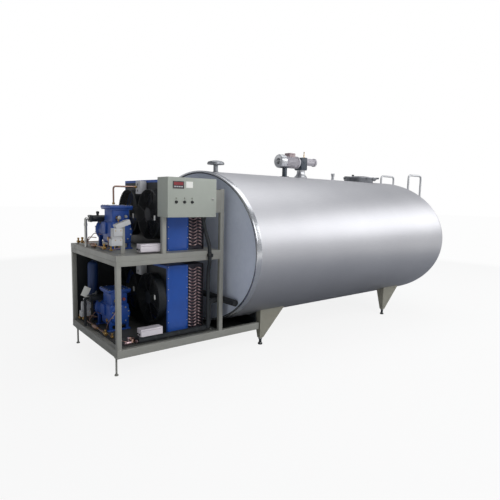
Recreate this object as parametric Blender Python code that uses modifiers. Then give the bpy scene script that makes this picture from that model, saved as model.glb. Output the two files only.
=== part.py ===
"""Horizontal bulk milk cooling tank with a two-tier refrigeration rack.

Metres, +Z up.  X runs along the tank, from the rack's end to the domed end.
The near side, with the control box, faces -Y.  The origin is on the floor,
under the middle of the whole object.
"""
import math

import bpy
import bmesh
from mathutils import Matrix, Vector

# ---------------------------------------------------------------- sizes
GAP = 0.0003                # joint line between touching pieces

# tank
TANK_LENGTH = 3.47          # front rim to the seam of the rear end
TANK_HALF_WIDTH = 1.118     # oval section, half of its width
TANK_HALF_HEIGHT = 0.85     # oval section, half of its height
AXIS_HEIGHT = 1.09          # tank axis above the floor
WALL = 0.07                 # inner vessel, foam and outer skin
RIM_DEPTH = 0.06            # polished band at the front edge
RIM_FACE = 0.018            # its width seen from the front
RIM_PROUD = 0.004           # how far the band stands off the skin
END_INSET = 0.014           # front end plate behind the band's edge
DOME_DEPTH = 0.45           # rear dished end
KNUCKLE = 0.15              # its corner radius
SHELL_ARCS = 6              # the round wall is made in this many arcs
ARC_STEPS = 14              # flats along one arc

# legs
LEG_FRONT_X = 0.477         # foot, behind the front rim
LEG_REAR_X = 2.817
LEG_Y = 0.5653 * TANK_HALF_WIDTH   # the legs stay under the same part of the oval
LEG_WIDTH = 0.43            # plate at its widest
LEG_FLANGE = 0.145          # folded side at its widest
LEG_TOE = 0.050             # plate at the foot
LEG_SHEET = 0.008
LEG_SHOE_Z = 0.080          # underside of the shoe plate
FOOT_R = 0.025
FOOT_H = 0.016
STEM_R = 0.015

# fittings on top
MANWAY_X = 2.93
MANWAY_BORE = 0.200         # radius of the opening
MANWAY_WALL = 0.018
MANWAY_TOP = 0.052          # neck above the tank's crown
MANWAY_PLATE = 0.300        # half length of the crown plate round it
MANWAY_TURN = -35.0         # direction of the hinge, degrees from +X
LID_R = 0.232
LID_H = 0.036
HINGE_REACH = 0.285         # hinge pin from the manway's centre
AGITATOR_X = 1.665
MOTOR_R = 0.082
MOTOR_LEN = 0.35
MOTOR_Z = 0.200             # motor axis above the crown
VENT_X = 0.262
VENT_PIPE_R = 0.032
VENT_CAP_R = 0.100
VENT_H = 0.134
NOZZLE_X = 2.327
NOZZLE_R = 0.020
NOZZLE_H = 0.098

# ladder at the rear
LADDER_NEAR_X = 0.43        # inner legs, behind the rear seam
LADDER_DEPTH = 0.37         # inner leg to climbing rail
LADDER_HALF = 0.262         # rail from the middle
LADDER_TOP = 2.105
LADDER_FOOT = 0.50
RAIL_R = 0.017
RUNG_R = 0.014
RUNGS = 5
LADDER_RUNG_TOP = 1.72

# rack
RACK_REACH = 1.2015         # rack's front face, ahead of the rim
RACK_HALF = 0.645
POST = 0.045
LOW_RAIL_Z = 0.184
LOW_RAIL_H = 0.077
LOW_RAIL_END = 0.44         # bottom rail ends, behind the rim
MID_RAIL_Z = 1.018
MID_RAIL_H = 0.045
REAR_POST_X = 0.105         # rear posts, ahead of the rim
REAR_POST_TOP = 1.73
TRAY_T = 0.006
CROSS = 0.060               # depth of the bottom front bar
REAR_CROSS_H = 0.125        # saddle bar, hollowed to clear the tank
REAR_CROSS_T = 0.020
RACK_FOOT_IN = 0.026
RACK_FOOT_Y = 0.555
RACK_STEM_R = 0.012

# condensing units
BASE_H_LOW = 0.079
BASE_H_UP = 0.050
UNIT_FACE = 0.633           # fan wall, ahead of the rim
UNIT_BACK = 0.213           # rear of the coil, ahead of the rim
COIL_DEPTH = 0.182
UNIT_HALF = 0.500
UNIT_H = 0.695
SHEET = 0.004
FAN_Y = 0.250
FAN_BORE = 0.243
FAN_COWL = 0.080            # cowl ahead of the fan wall
TERMINAL_REACH = 0.075      # wiring box between the fans
FAN_RIM = 0.006
ROTOR_R = 0.232
ROTOR_HUB = 0.062
ROTOR_L = 0.070
BLADES = 5
GUARD_T = 0.006
FAN_MOTOR_R = 0.048

# pipes
HEADER_SHARE = 0.729         # its outer end, as a share of the half width
HEADER_R = 0.033

# compressors
COMP_X = 0.955              # centre, ahead of the rim
COMP_Y = {"low": 0.090, "up": 0.020}
COMP_LEN = 0.44
COMP_R = 0.110
COMP_H = 0.437

# where the switch stands are, behind the rim and beside the middle
SWITCH_PLACES = {"low": (-1.085, 0.372), "up": (-1.080, -0.500)}

# control box
BOX_X0 = 0.754              # left side, ahead of the rim
BOX_W = 0.528
BOX_Z = 1.454
BOX_H = 0.367
BOX_FRONT = 0.7223          # joint line of door and body
BOX_DEPTH = 0.182
BOX_SHEET = 0.004
DOOR_T = 0.018
BUTTON_R = 0.015

TOTAL_LENGTH = RACK_REACH + TANK_LENGTH + LADDER_NEAR_X + LADDER_DEPTH + RAIL_R
RIM_X = RACK_REACH - TOTAL_LENGTH / 2.0     # tank's front rim
CROWN = AXIS_HEIGHT + TANK_HALF_HEIGHT
LOW_TOP = LOW_RAIL_Z + LOW_RAIL_H
MID_TOP = MID_RAIL_Z + MID_RAIL_H
TRAY_TOP = LOW_RAIL_Z + TRAY_T

# ---------------------------------------------------------------- looks
LOOKS = {
    "brushed_stainless": ((0.56, 0.57, 0.60), 0.36, 1.0),
    "polished_stainless": ((0.74, 0.75, 0.77), 0.12, 1.0),
    "end_sheet": ((0.40, 0.42, 0.50), 0.45, 1.0),
    "grey_paint": ((0.33, 0.33, 0.29), 0.50, 0.0),
    "blue_paint": ((0.012, 0.085, 0.40), 0.35, 0.0),
    "black_paint": ((0.014, 0.016, 0.020), 0.50, 0.0),
    "box_paint": ((0.42, 0.46, 0.41), 0.45, 0.0),
    "white_plastic": ((0.66, 0.62, 0.66), 0.40, 0.0),
    "black_foam": ((0.02, 0.02, 0.022), 0.85, 0.0),
    "copper": ((0.62, 0.30, 0.19), 0.30, 1.0),
    "fin_aluminium": ((0.42, 0.40, 0.42), 0.45, 1.0),
    "slate_paint": ((0.10, 0.12, 0.15), 0.45, 0.2),
}

YZ = Matrix(((0, 0, 1), (1, 0, 0), (0, 1, 0))).to_4x4()      # drawn across, drawn up
XZ = Matrix.Rotation(math.radians(90.0), 4, "X")
ALONG_X = Matrix.Rotation(math.radians(90.0), 4, "Y")
ALONG_Y = Matrix.Rotation(math.radians(-90.0), 4, "X")


def clear_scene():
    for ob in list(bpy.data.objects):
        bpy.data.objects.remove(ob, do_unlink=True)


def new_collection(name):
    col = bpy.data.collections.new(name)
    bpy.context.scene.collection.children.link(col)
    return col


clear_scene()
PARTS = new_collection("milk_cooling_tank")
CUTTERS = new_collection("cutters")


def look(name):
    mat = bpy.data.materials.get(name)
    if mat is None:
        colour, rough, metal = LOOKS[name]
        mat = bpy.data.materials.new(name)
        mat.use_nodes = True
        shader = mat.node_tree.nodes["Principled BSDF"]
        shader.inputs["Base Color"].default_value = (*colour, 1.0)
        shader.inputs["Roughness"].default_value = rough
        shader.inputs["Metallic"].default_value = metal
    return mat


def finish(ob, material):
    """Give a piece its own copy of a finish."""
    mat = look(material).copy()
    mat.name = ob.name + "_" + material
    ob.data.materials.clear()
    ob.data.materials.append(mat)
    return ob


def place(name, mesh, matrix):
    ob = bpy.data.objects.new(name, mesh)
    ob.matrix_world = matrix
    PARTS.objects.link(ob)
    return ob


def as_cutter(ob):
    PARTS.objects.unlink(ob)
    CUTTERS.objects.link(ob)
    ob.hide_render = True
    ob.display_type = "WIRE"
    return ob


def boolean(ob, tool, operation):
    if tool.name not in CUTTERS.objects:
        as_cutter(tool)
    mod = ob.modifiers.new(operation.lower(), "BOOLEAN")
    mod.operation = operation
    mod.solver = "EXACT"
    mod.object = tool
    return ob


def join(ob, *tools):
    for tool in tools:
        boolean(ob, tool, "UNION")
    return ob


def cut(ob, *tools):
    for tool in tools:
        boolean(ob, tool, "DIFFERENCE")
    return ob


def applied(ob):
    """Turn curve and modifiers into a plain welded mesh."""
    bpy.context.view_layer.update()
    graph = bpy.context.evaluated_depsgraph_get()
    mesh = bpy.data.meshes.new_from_object(ob.evaluated_get(graph))
    bm = bmesh.new()
    bm.from_mesh(mesh)
    bmesh.ops.remove_doubles(bm, verts=bm.verts, dist=0.00002)
    bmesh.ops.recalc_face_normals(bm, faces=bm.faces)
    bm.to_mesh(mesh)
    bm.free()
    name = ob.name
    matrix = ob.matrix_world.copy()
    bpy.data.objects.remove(ob, do_unlink=True)
    mesh.name = name
    return place(name, mesh, matrix)


def box(name, x, y, z, tilt=None):
    """A block between two values on each axis."""
    mesh = bpy.data.meshes.new(name)
    bm = bmesh.new()
    bmesh.ops.create_cube(bm, size=1.0)
    size = (x[1] - x[0], y[1] - y[0], z[1] - z[0])
    bmesh.ops.scale(bm, verts=bm.verts, vec=size)
    bm.to_mesh(mesh)
    bm.free()
    centre = Vector(((x[0] + x[1]) / 2, (y[0] + y[1]) / 2, (z[0] + z[1]) / 2))
    matrix = Matrix.Translation(centre)
    if tilt is not None:
        matrix = matrix @ tilt
    return place(name, mesh, matrix)


def rod(name, radius, start, end, sides=24, radius_end=None):
    """A round bar, or a cone, from one point to another."""
    a, b = Vector(start), Vector(end)
    mesh = bpy.data.meshes.new(name)
    bm = bmesh.new()
    far = radius if radius_end is None else radius_end
    bmesh.ops.create_cone(bm, cap_ends=True, segments=sides, radius1=radius,
                          radius2=far, depth=(b - a).length)
    bm.to_mesh(mesh)
    bm.free()
    turn = (b - a).to_track_quat("Z", "Y").to_matrix().to_4x4()
    return place(name, mesh, Matrix.Translation((a + b) / 2) @ turn)


def flat(name, loops, thickness, matrix):
    """A flat outline, with any holes, given a thickness about its plane."""
    curve = bpy.data.curves.new(name, "CURVE")
    curve.dimensions = "2D"
    curve.fill_mode = "BOTH"
    curve.extrude = thickness / 2.0
    for points in loops:
        line = curve.splines.new("POLY")
        line.points.add(len(points) - 1)
        for slot, (u, v) in zip(line.points, points):
            slot.co = (u, v, 0.0, 1.0)
        line.use_cyclic_u = True
    return applied(place(name, curve, matrix))


def tube(name, points, radius, detail=3):
    """A bent bar through points, with closed ends."""
    curve = bpy.data.curves.new(name, "CURVE")
    curve.dimensions = "3D"
    curve.bevel_depth = radius
    curve.bevel_resolution = detail
    curve.use_fill_caps = True
    line = curve.splines.new("POLY")
    line.points.add(len(points) - 1)
    for slot, co in zip(line.points, points):
        slot.co = (*co, 1.0)
    return applied(place(name, curve, Matrix.Identity(4)))


def turned(name, profile, matrix, sides=32):
    """A turned piece: radius and height pairs, down the outer side."""
    mesh = bpy.data.meshes.new(name)
    bm = bmesh.new()
    verts = [bm.verts.new((r, 0.0, h)) for r, h in profile]
    for a, b in zip(verts, verts[1:]):
        bm.edges.new((a, b))
    if profile[0][0] > 0.0 or profile[-1][0] > 0.0:
        bm.edges.new((verts[-1], verts[0]))
    bm.to_mesh(mesh)
    bm.free()
    ob = place(name, mesh, matrix)
    mod = ob.modifiers.new("turn", "SCREW")
    mod.steps = sides
    mod.render_steps = sides
    mod.use_merge_vertices = True
    mod.merge_threshold = 0.00005
    return ob


def smooth(ob, angle=35.0):
    if ob.type == "MESH":
        ob.data.shade_smooth()
        ob.data.set_sharp_from_angle(angle=math.radians(angle))
    return ob


def at(x):
    """World X of a place measured from the tank's front rim."""
    return RIM_X + x


def bend(corner, before, after, radius, steps=5):
    """Points of a rounded corner between two straight runs."""
    c, a, b = Vector(corner), Vector(before), Vector(after)
    u, w = (a - c).normalized(), (b - c).normalized()
    half = u.angle(w) / 2.0
    reach = radius / math.tan(half)
    middle = c + (u + w).normalized() * radius / math.sin(half)
    start, end = c + u * reach - middle, c + w * reach - middle
    total = start.angle(end)
    out = []
    for i in range(steps + 1):
        f = i / steps
        p = start * math.sin((1 - f) * total) + end * math.sin(f * total)
        out.append(tuple(middle + p / math.sin(total)))
    return out


def route(points, radius):
    """A line of straight runs with each corner rounded."""
    out = [tuple(points[0])]
    for before, corner, after in zip(points, points[1:], points[2:]):
        out += bend(corner, before, after, radius)
    out.append(tuple(points[-1]))
    return out


# ---------------------------------------------------------------- tank
def oval(offset, start, stop, steps):
    """Points on the tank's section, grown by an offset, as (y, z)."""
    out = []
    for i in range(steps + 1):
        t = start + (stop - start) * i / steps
        y = (TANK_HALF_WIDTH + offset) * math.cos(t)
        z = AXIS_HEIGHT + (TANK_HALF_HEIGHT + offset) * math.sin(t)
        out.append((y, z))
    return out


def oval_loop(offset):
    return oval(offset, 0.0, math.tau, ARC_STEPS * SHELL_ARCS)[:-1]


def oval_bottom(y):
    """Height of the skin's underside beside the middle."""
    share = min(abs(y) / TANK_HALF_WIDTH, 1.0)
    return AXIS_HEIGHT - TANK_HALF_HEIGHT * math.sqrt(1.0 - share * share)


def oval_top(y):
    return 2.0 * AXIS_HEIGHT - oval_bottom(y)


def across(x0, x1):
    """Frame for an outline drawn across the tank, between two X values."""
    return Matrix.Translation(((x0 + x1) / 2.0, 0.0, 0.0)) @ YZ


ARC_NAMES = ("shell_far_upper", "shell_top", "shell_near_upper",
             "shell_near_lower", "shell_bottom", "shell_far_lower")


def shell():
    x0, x1 = at(RIM_DEPTH + GAP), at(TANK_LENGTH)
    step = math.tau / SHELL_ARCS
    seam = GAP / 2.0 / TANK_HALF_HEIGHT
    for i, name in enumerate(ARC_NAMES):
        a, b = i * step + seam, (i + 1) * step - seam
        outline = oval(0.0, a, b, ARC_STEPS) + oval(-WALL, b, a, ARC_STEPS)
        if name != "shell_top":
            ob = flat(name, [outline], x1 - x0, across(x0, x1))
            finish(smooth(ob, 20), "brushed_stainless")
            continue
        c0, c1 = at(MANWAY_X - MANWAY_PLATE), at(MANWAY_X + MANWAY_PLATE)
        runs = (("shell_top_front", x0, c0 - GAP), ("shell_top_manway", c0, c1),
                ("shell_top_rear", c1 + GAP, x1))
        for part, u0, u1 in runs:
            ob = flat(part, [outline], u1 - u0, across(u0, u1))
            if part == "shell_top_manway":
                hole = rod("manway_hole", MANWAY_BORE + MANWAY_WALL + GAP,
                           (at(MANWAY_X), 0, CROWN - WALL - 0.2),
                           (at(MANWAY_X), 0, CROWN + 0.2), 40)
                cut(ob, hole)
            finish(smooth(ob, 20), "brushed_stainless")


def front():
    x0, x1 = at(0.0), at(RIM_DEPTH)
    inner = -RIM_FACE
    rim = flat("front_rim", [oval_loop(RIM_PROUD), oval_loop(inner)],
               x1 - x0, across(x0, x1))
    finish(smooth(rim, 20), "polished_stainless")
    x0 = at(END_INSET)
    plate = flat("front_end", [oval_loop(inner - GAP)], x1 - x0, across(x0, x1))
    finish(plate, "end_sheet")


def dome_profile(radius, depth, knuckle, steps):
    """Half section of a dished end, from its tip to its skirt."""
    crown = (depth ** 2 - knuckle ** 2 + (radius - knuckle) ** 2)
    crown = crown / (2.0 * (depth - knuckle))
    turn = math.asin((radius - knuckle) / (crown - knuckle))
    out = [(0.0, depth)]
    for i in range(1, steps + 1):
        a = turn * i / steps
        out.append((crown * math.sin(a), depth - crown + crown * math.cos(a)))
    for i in range(1, steps + 1):
        a = turn + (math.pi / 2.0 - turn) * i / steps
        out.append((radius - knuckle + knuckle * math.sin(a), knuckle * math.cos(a)))
    return out


def rear():
    outer = dome_profile(TANK_HALF_HEIGHT, DOME_DEPTH, KNUCKLE, 5)
    inner = dome_profile(TANK_HALF_HEIGHT - WALL, DOME_DEPTH - WALL,
                         KNUCKLE - WALL / 2.0, 5)
    where = Matrix.Translation((at(TANK_LENGTH + GAP), 0.0, AXIS_HEIGHT)) @ ALONG_X
    where = where @ Matrix.Diagonal((1.0, TANK_HALF_WIDTH / TANK_HALF_HEIGHT, 1.0, 1.0))
    ob = turned("rear_dome", outer + inner[::-1], where, 56)
    finish(smooth(ob, 20), "brushed_stainless")


def dome_clearance():
    """The rear end's outer form with its joint line, cut out of the ladder."""
    room = 2.0 * GAP
    outer = dome_profile(TANK_HALF_HEIGHT + room, DOME_DEPTH + room, KNUCKLE + room, 5)
    where = Matrix.Translation((at(TANK_LENGTH), 0.0, AXIS_HEIGHT)) @ ALONG_X
    where = where @ Matrix.Diagonal((1.0, TANK_HALF_WIDTH / TANK_HALF_HEIGHT, 1.0, 1.0))
    return as_cutter(turned("dome_clearance", outer + [(0.0, 0.0)], where, 56))


def tank_clearance():
    """The tank's outer form with its joint line, cut out of what it rests on."""
    x0, x1 = at(-0.01), at(TANK_LENGTH)
    return as_cutter(flat("tank_clearance", [oval_loop(2.0 * GAP)], x1 - x0, across(x0, x1)))


def leg(name, foot_x, side, clearance):
    """A folded, tapered sheet leg with a round foot on a stem."""
    x0 = at(foot_x) - 0.026
    y0 = side * (LEG_Y + 0.023)
    top = oval_bottom(LEG_Y) + 0.08
    low = LEG_SHOE_Z
    drawn = [(0.0, low), (LEG_TOE, low), (LEG_WIDTH, top), (0.0, top)]
    where = Matrix.Translation((x0, y0 - side * LEG_SHEET / 2.0, 0.0)) @ XZ
    ob = flat(name, [drawn], LEG_SHEET, where)
    toe = 0.046
    drawn = [(0.0, low), (toe, low), (LEG_FLANGE, top), (0.0, top)]
    drawn = [(y0 - side * u, v) for u, v in drawn]
    flange = flat(name + "_flange", [drawn], LEG_SHEET,
                  Matrix.Translation((x0 + LEG_SHEET / 2.0, 0.0, 0.0)) @ YZ)
    ys = sorted((y0, y0 - side * toe))
    shoe = box(name + "_shoe", (x0, x0 + LEG_TOE), ys, (low, low + 0.010))
    fx, fy = at(foot_x), side * LEG_Y
    stem = rod(name + "_stem", STEM_R, (fx, fy, FOOT_H / 2.0), (fx, fy, low + 0.005), 16)
    pad = rod(name + "_pad", FOOT_R, (fx, fy, 0.0), (fx, fy, FOOT_H), 24)
    join(ob, flange, shoe, stem, pad)
    boolean(ob, clearance, "DIFFERENCE")
    finish(ob, "grey_paint")


# ---------------------------------------------------------------- top fittings
def manway():
    turn = Matrix.Rotation(math.radians(MANWAY_TURN), 4, "Z")
    centre = Matrix.Translation((at(MANWAY_X), 0.0, CROWN)) @ turn
    outer = MANWAY_BORE + MANWAY_WALL
    lip = LID_R - 0.010
    profile = [(MANWAY_BORE, MANWAY_TOP), (lip, MANWAY_TOP), (lip, MANWAY_TOP - 0.012),
               (outer, MANWAY_TOP - 0.020), (outer, -WALL), (MANWAY_BORE, -WALL)]
    neck = turned("manway_neck", profile, centre, 40)
    pin = MANWAY_TOP + 0.006
    cheeks = []
    for side in (-1, 1):
        ys = sorted((side * 0.046, side * 0.058))
        drawn = [(outer - 0.006, -0.002), (outer - 0.006, MANWAY_TOP - 0.014),
                 (HINGE_REACH - 0.016, pin + 0.014), (HINGE_REACH + 0.016, pin + 0.014),
                 (HINGE_REACH + 0.016, pin - 0.014), (outer + 0.02, -0.002)]
        where = centre @ Matrix.Translation((0, (ys[0] + ys[1]) / 2.0, 0)) @ XZ
        cheeks.append(flat("cheek", [drawn], ys[1] - ys[0], where))
    join(neck, *cheeks)
    finish(smooth(neck), "brushed_stainless")

    axis = centre @ Matrix.Translation((HINGE_REACH, 0.0, pin))
    empty = bpy.data.objects.new("manway_hinge", None)
    empty.matrix_world = axis
    PARTS.objects.link(empty)
    low = MANWAY_TOP + GAP - pin
    profile = [(0.0, low + LID_H), (0.08, low + LID_H - 0.003),
               (0.17, low + LID_H - 0.014), (LID_R - 0.012, low + 0.018),
               (LID_R, low + 0.012), (LID_R, low), (0.0, low)]
    lid = turned("manway_lid", profile,
                 axis @ Matrix.Translation((-HINGE_REACH, 0.0, 0.0)), 40)
    arm = box("lid_arm", (-HINGE_REACH + 0.16, 0.012), (-0.036, 0.036),
              (low + 0.002, low + 0.016))
    arm.matrix_world = axis @ arm.matrix_world
    barrel = rod("lid_barrel", 0.011, (0, -0.040, 0), (0, 0.040, 0), 16)
    barrel.matrix_world = axis @ barrel.matrix_world
    grip = rod("lid_grip", 0.016, (-HINGE_REACH - 0.09, 0, low + 0.02),
               (-HINGE_REACH - 0.09, 0, low + LID_H + 0.022), 16)
    grip.matrix_world = axis @ grip.matrix_world
    join(lid, arm, barrel, grip)
    finish(smooth(lid), "brushed_stainless")
    keep = lid.matrix_world.copy()
    lid.parent = empty
    lid.matrix_parent_inverse = axis.inverted()
    lid.matrix_world = keep


def agitator():
    """Worm gearbox on a stool, with its motor lying along the tank."""
    x, top = at(AGITATOR_X), CROWN
    seat = Matrix.Translation((x, 0.0, top + GAP))
    stool = turned("agitator_drive", [(0.0, 0.110), (0.055, 0.110), (0.052, 0.055),
                                      (0.082, 0.012), (0.088, 0.0), (0.0, 0.0)], seat, 32)
    z = top + MOTOR_Z - 0.014
    case = box("gear_case", (x - 0.063, x + 0.063), (-0.070, 0.070), (z - 0.085, z + 0.085))
    face = rod("motor_flange", 0.070, (x - 0.075, 0, z + 0.014), (x - 0.06, 0, z + 0.014), 24)
    snout = rod("cover_flange", 0.060, (x + 0.055, 0, z + 0.036), (x + 0.085, 0, z + 0.036), 24)
    nose = rod("cover", 0.042, (x + 0.055, 0, z + 0.036), (x + 0.262, 0, z + 0.036), 24)
    ring = rod("cover_ring", 0.056, (x + 0.235, 0, z + 0.036), (x + 0.262, 0, z + 0.036), 24)
    breather = rod("breather", 0.007, (x + 0.05, 0, z + 0.07), (x + 0.05, 0, z + 0.17), 12)
    join(stool, case, face, snout, nose, ring, breather)
    finish(smooth(stool), "slate_paint")

    z = top + MOTOR_Z
    x1 = x - 0.075 - GAP
    x0 = x1 - MOTOR_LEN
    body = rod("agitator_motor", MOTOR_R, (x0 + 0.085, 0, z), (x1, 0, z), 32)
    cowl = rod("fan_cowl", MOTOR_R + 0.007, (x0, 0, z), (x0 + 0.09, 0, z), 32)
    lid = box("terminal_box", (x1 - 0.19, x1 - 0.085), (-0.05, 0.05), (z + 0.05, z + 0.115))
    post = box("motor_post", (x0 + 0.10, x0 + 0.145), (-0.03, 0.03),
               (top + GAP, z - MOTOR_R + 0.02))
    foot = box("motor_foot", (x0 + 0.08, x0 + 0.165), (-0.045, 0.045),
               (top + GAP, top + GAP + 0.008))
    join(body, cowl, lid, post, foot)
    finish(smooth(body), "brushed_stainless")


def vent():
    seat = Matrix.Translation((at(VENT_X), 0.0, CROWN + GAP))
    r, cap = VENT_PIPE_R, VENT_CAP_R
    profile = [(0.0, VENT_H), (cap * 0.55, VENT_H - 0.003), (cap, VENT_H - 0.022),
               (cap, VENT_H - 0.030), (cap - 0.01, VENT_H - 0.030), (r + 0.012, VENT_H - 0.016),
               (r + 0.012, VENT_H - 0.052), (r, VENT_H - 0.056),
               (r, 0.010), (r + 0.016, 0.008), (r + 0.016, 0.0), (0.0, 0.0)]
    finish(smooth(turned("vent", profile, seat, 32)), "brushed_stainless")


def nozzle():
    seat = Matrix.Translation((at(NOZZLE_X), 0.0, CROWN + GAP))
    r, h = NOZZLE_R, NOZZLE_H
    profile = [(0.0, h), (r + 0.004, h), (r + 0.007, h - 0.006), (r + 0.007, h - 0.024),
               (r, h - 0.028), (r, 0.008), (r + 0.010, 0.006), (r + 0.010, 0.0), (0.0, 0.0)]
    finish(smooth(turned("nozzle", profile, seat, 24)), "brushed_stainless")


# ---------------------------------------------------------------- ladder
def dome_x(y, z):
    """X of the rear end's skin at a place across it."""
    share = math.hypot(y / TANK_HALF_WIDTH, (z - AXIS_HEIGHT) / TANK_HALF_HEIGHT)
    r = share * TANK_HALF_HEIGHT
    profile = dome_profile(TANK_HALF_HEIGHT, DOME_DEPTH, KNUCKLE, 24)
    for (r0, h0), (r1, h1) in zip(profile, profile[1:]):
        if r0 <= r <= r1:
            return at(TANK_LENGTH) + h0 + (h1 - h0) * (r - r0) / (r1 - r0)
    return at(TANK_LENGTH)


def ladder():
    inner = at(TANK_LENGTH + LADDER_NEAR_X)
    outer = inner + LADDER_DEPTH
    span = LADDER_RUNG_TOP - 0.06 - LADDER_FOOT
    rungs = []
    rails = []
    for side in (-1, 1):
        y = side * LADDER_HALF
        hold = AXIS_HEIGHT + 0.33
        skin = dome_x(y, hold) - 0.03
        points = [(skin, y, hold), (inner, y, hold), (inner, y, LADDER_TOP - RAIL_R),
                  (outer, y, LADDER_TOP - RAIL_R), (outer, y, LADDER_FOOT)]
        rails.append(tube("ladder_rail", route(points, 0.045), RAIL_R))
        low = LADDER_FOOT + 0.12
        skin = dome_x(y, low) - 0.03
        rails.append(rod("ladder_stay", RAIL_R * 0.8, (skin, y, low), (outer, y, low), 14))
    for i in range(RUNGS):
        z = LADDER_FOOT + 0.06 + span * i / (RUNGS - 1)
        rungs.append(rod("rung", RUNG_R, (outer, -LADDER_HALF, z), (outer, LADDER_HALF, z), 14))
    ob = rails[0]
    ob.name = "ladder"
    join(ob, *rungs, *rails[1:])
    cut(ob, dome_clearance())
    finish(smooth(ob), "brushed_stainless")


# ---------------------------------------------------------------- rack
def rack():
    """Two welded sides, each in two angles, with bars across."""
    x0 = at(-RACK_REACH)
    rear0 = at(-REAR_POST_X)
    rear1 = rear0 + POST
    seam = 0.002
    for side, tag in ((-1, "near"), (1, "far")):
        ys = sorted((side * RACK_HALF, side * (RACK_HALF - POST)))
        thin = sorted((side * (RACK_HALF - 0.001), side * (RACK_HALF - POST + 0.001)))
        bar = box("rail_low_" + tag, (x0, at(LOW_RAIL_END)), ys, (LOW_RAIL_Z, LOW_TOP))
        top = REAR_POST_TOP if side < 0 else MID_TOP
        post = box("rear_post", (rear0, rear1), thin, (LOW_TOP - seam, top))
        finish(join(bar, post), "grey_paint")
        bar = box("rail_mid_" + tag, (x0, rear0 - GAP), ys, (MID_RAIL_Z, MID_TOP))
        post = box("front_post", (x0 + 0.001, x0 + POST), thin,
                   (LOW_TOP + GAP, MID_RAIL_Z + seam))
        finish(join(bar, post), "grey_paint")
    inner = RACK_HALF - POST - GAP
    bar = box("cross_low_front", (x0, x0 + CROSS), (-inner, inner), (LOW_RAIL_Z, LOW_TOP))
    for side in (-1, 1):
        fx, fy = x0 + RACK_FOOT_IN, side * RACK_FOOT_Y
        stem = rod("rack_stem", RACK_STEM_R, (fx, fy, 0.004), (fx, fy, LOW_RAIL_Z + seam), 16)
        pad = rod("rack_pad", 0.018, (fx, fy, 0.0), (fx, fy, 0.012), 20)
        nut = rod("rack_nut", 0.019, (fx, fy, LOW_RAIL_Z - 0.016),
                  (fx, fy, LOW_RAIL_Z + seam), 6)
        join(bar, stem, pad, nut)
    finish(bar, "grey_paint")
    bar = box("cross_mid_front", (x0, x0 + POST), (-inner, inner), (MID_RAIL_Z, MID_TOP))
    finish(bar, "grey_paint")
    end = at(LOW_RAIL_END)
    bar = box("cross_low_rear", (end - REAR_CROSS_T, end), (-inner, inner),
              (LOW_RAIL_Z, LOW_RAIL_Z + REAR_CROSS_H))
    cut(bar, tank_clearance())
    finish(bar, "black_paint")
    tray = box("rack_tray", (x0 + CROSS + GAP, end - REAR_CROSS_T - GAP), (-inner, inner),
               (LOW_RAIL_Z, TRAY_TOP))
    finish(tray, "black_paint")
    panel = box("side_panel_far", (x0 + POST + GAP, rear0 - GAP),
                (RACK_HALF - 0.020, RACK_HALF - 0.016), (LOW_TOP + GAP, MID_RAIL_Z - GAP))
    finish(panel, "black_paint")


def unit_base(name, z0, z1, x0, x1, half):
    """A folded tray: a deck with its edges turned down."""
    ob = box(name, (x0, x1), (-half, half), (z0, z1))
    t = 0.006
    hollow = box(name + "_hollow", (x0 + t, x1 - t), (-half + t, half - t), (z0 - 0.1, z1 - t))
    cut(ob, hollow)
    return ob


def housing(tag, z0):
    """A sheet casing round the air space, closed in front by the fan wall."""
    x0, x1 = at(-UNIT_FACE), at(-UNIT_BACK - COIL_DEPTH - GAP)
    z1 = z0 + UNIT_H
    zf = (z0 + z1) / 2.0
    half = UNIT_HALF
    inside = x0 + SHEET + GAP
    ob = box("housing_" + tag, (inside, x1), (-half, half), (z0, z1))
    hollow = box("inside", (x0 - 0.1, x1 + 0.1), (-half + SHEET, half - SHEET),
                 (z0 + SHEET, z1 - SHEET))
    finish(cut(ob, hollow), "blue_paint")
    wall = box("fan_wall_" + tag, (x0, x0 + SHEET), (-half, half), (z0, z1))
    cowls = []
    bores = []
    for y in (-FAN_Y, FAN_Y):
        cowls.append(rod("cowl", FAN_BORE + FAN_RIM, (x0 - FAN_COWL, y, zf),
                         (x0 + SHEET / 2.0, y, zf), 36))
        bores.append(rod("bore", FAN_BORE, (x0 - FAN_COWL - 0.1, y, zf),
                         (x0 + 0.1, y, zf), 36))
    terminal = box("terminal_box", (x0 - TERMINAL_REACH, x0 + SHEET / 2.0), (-0.055, 0.055),
                   (zf + FAN_BORE * 0.83, z1 - 0.012))
    join(wall, *cowls)
    cut(wall, *bores)
    join(wall, terminal)
    finish(wall, "black_paint")


def coil(name, z0):
    x0, x1 = at(-UNIT_BACK - COIL_DEPTH), at(-UNIT_BACK)
    ob = box(name, (x0, x1), (-UNIT_HALF, UNIT_HALF), (z0, z0 + UNIT_H))
    finish(ob, "fin_aluminium")


def sector(r0, r1, a0, a1, steps):
    """Outline of a slot between two radii and two angles."""
    out = []
    for r, a, b in ((r1, a0, a1), (r0, a1, a0)):
        for i in range(steps + 1):
            t = a + (b - a) * i / steps
            out.append((r * math.cos(t), r * math.sin(t)))
    return out


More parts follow.
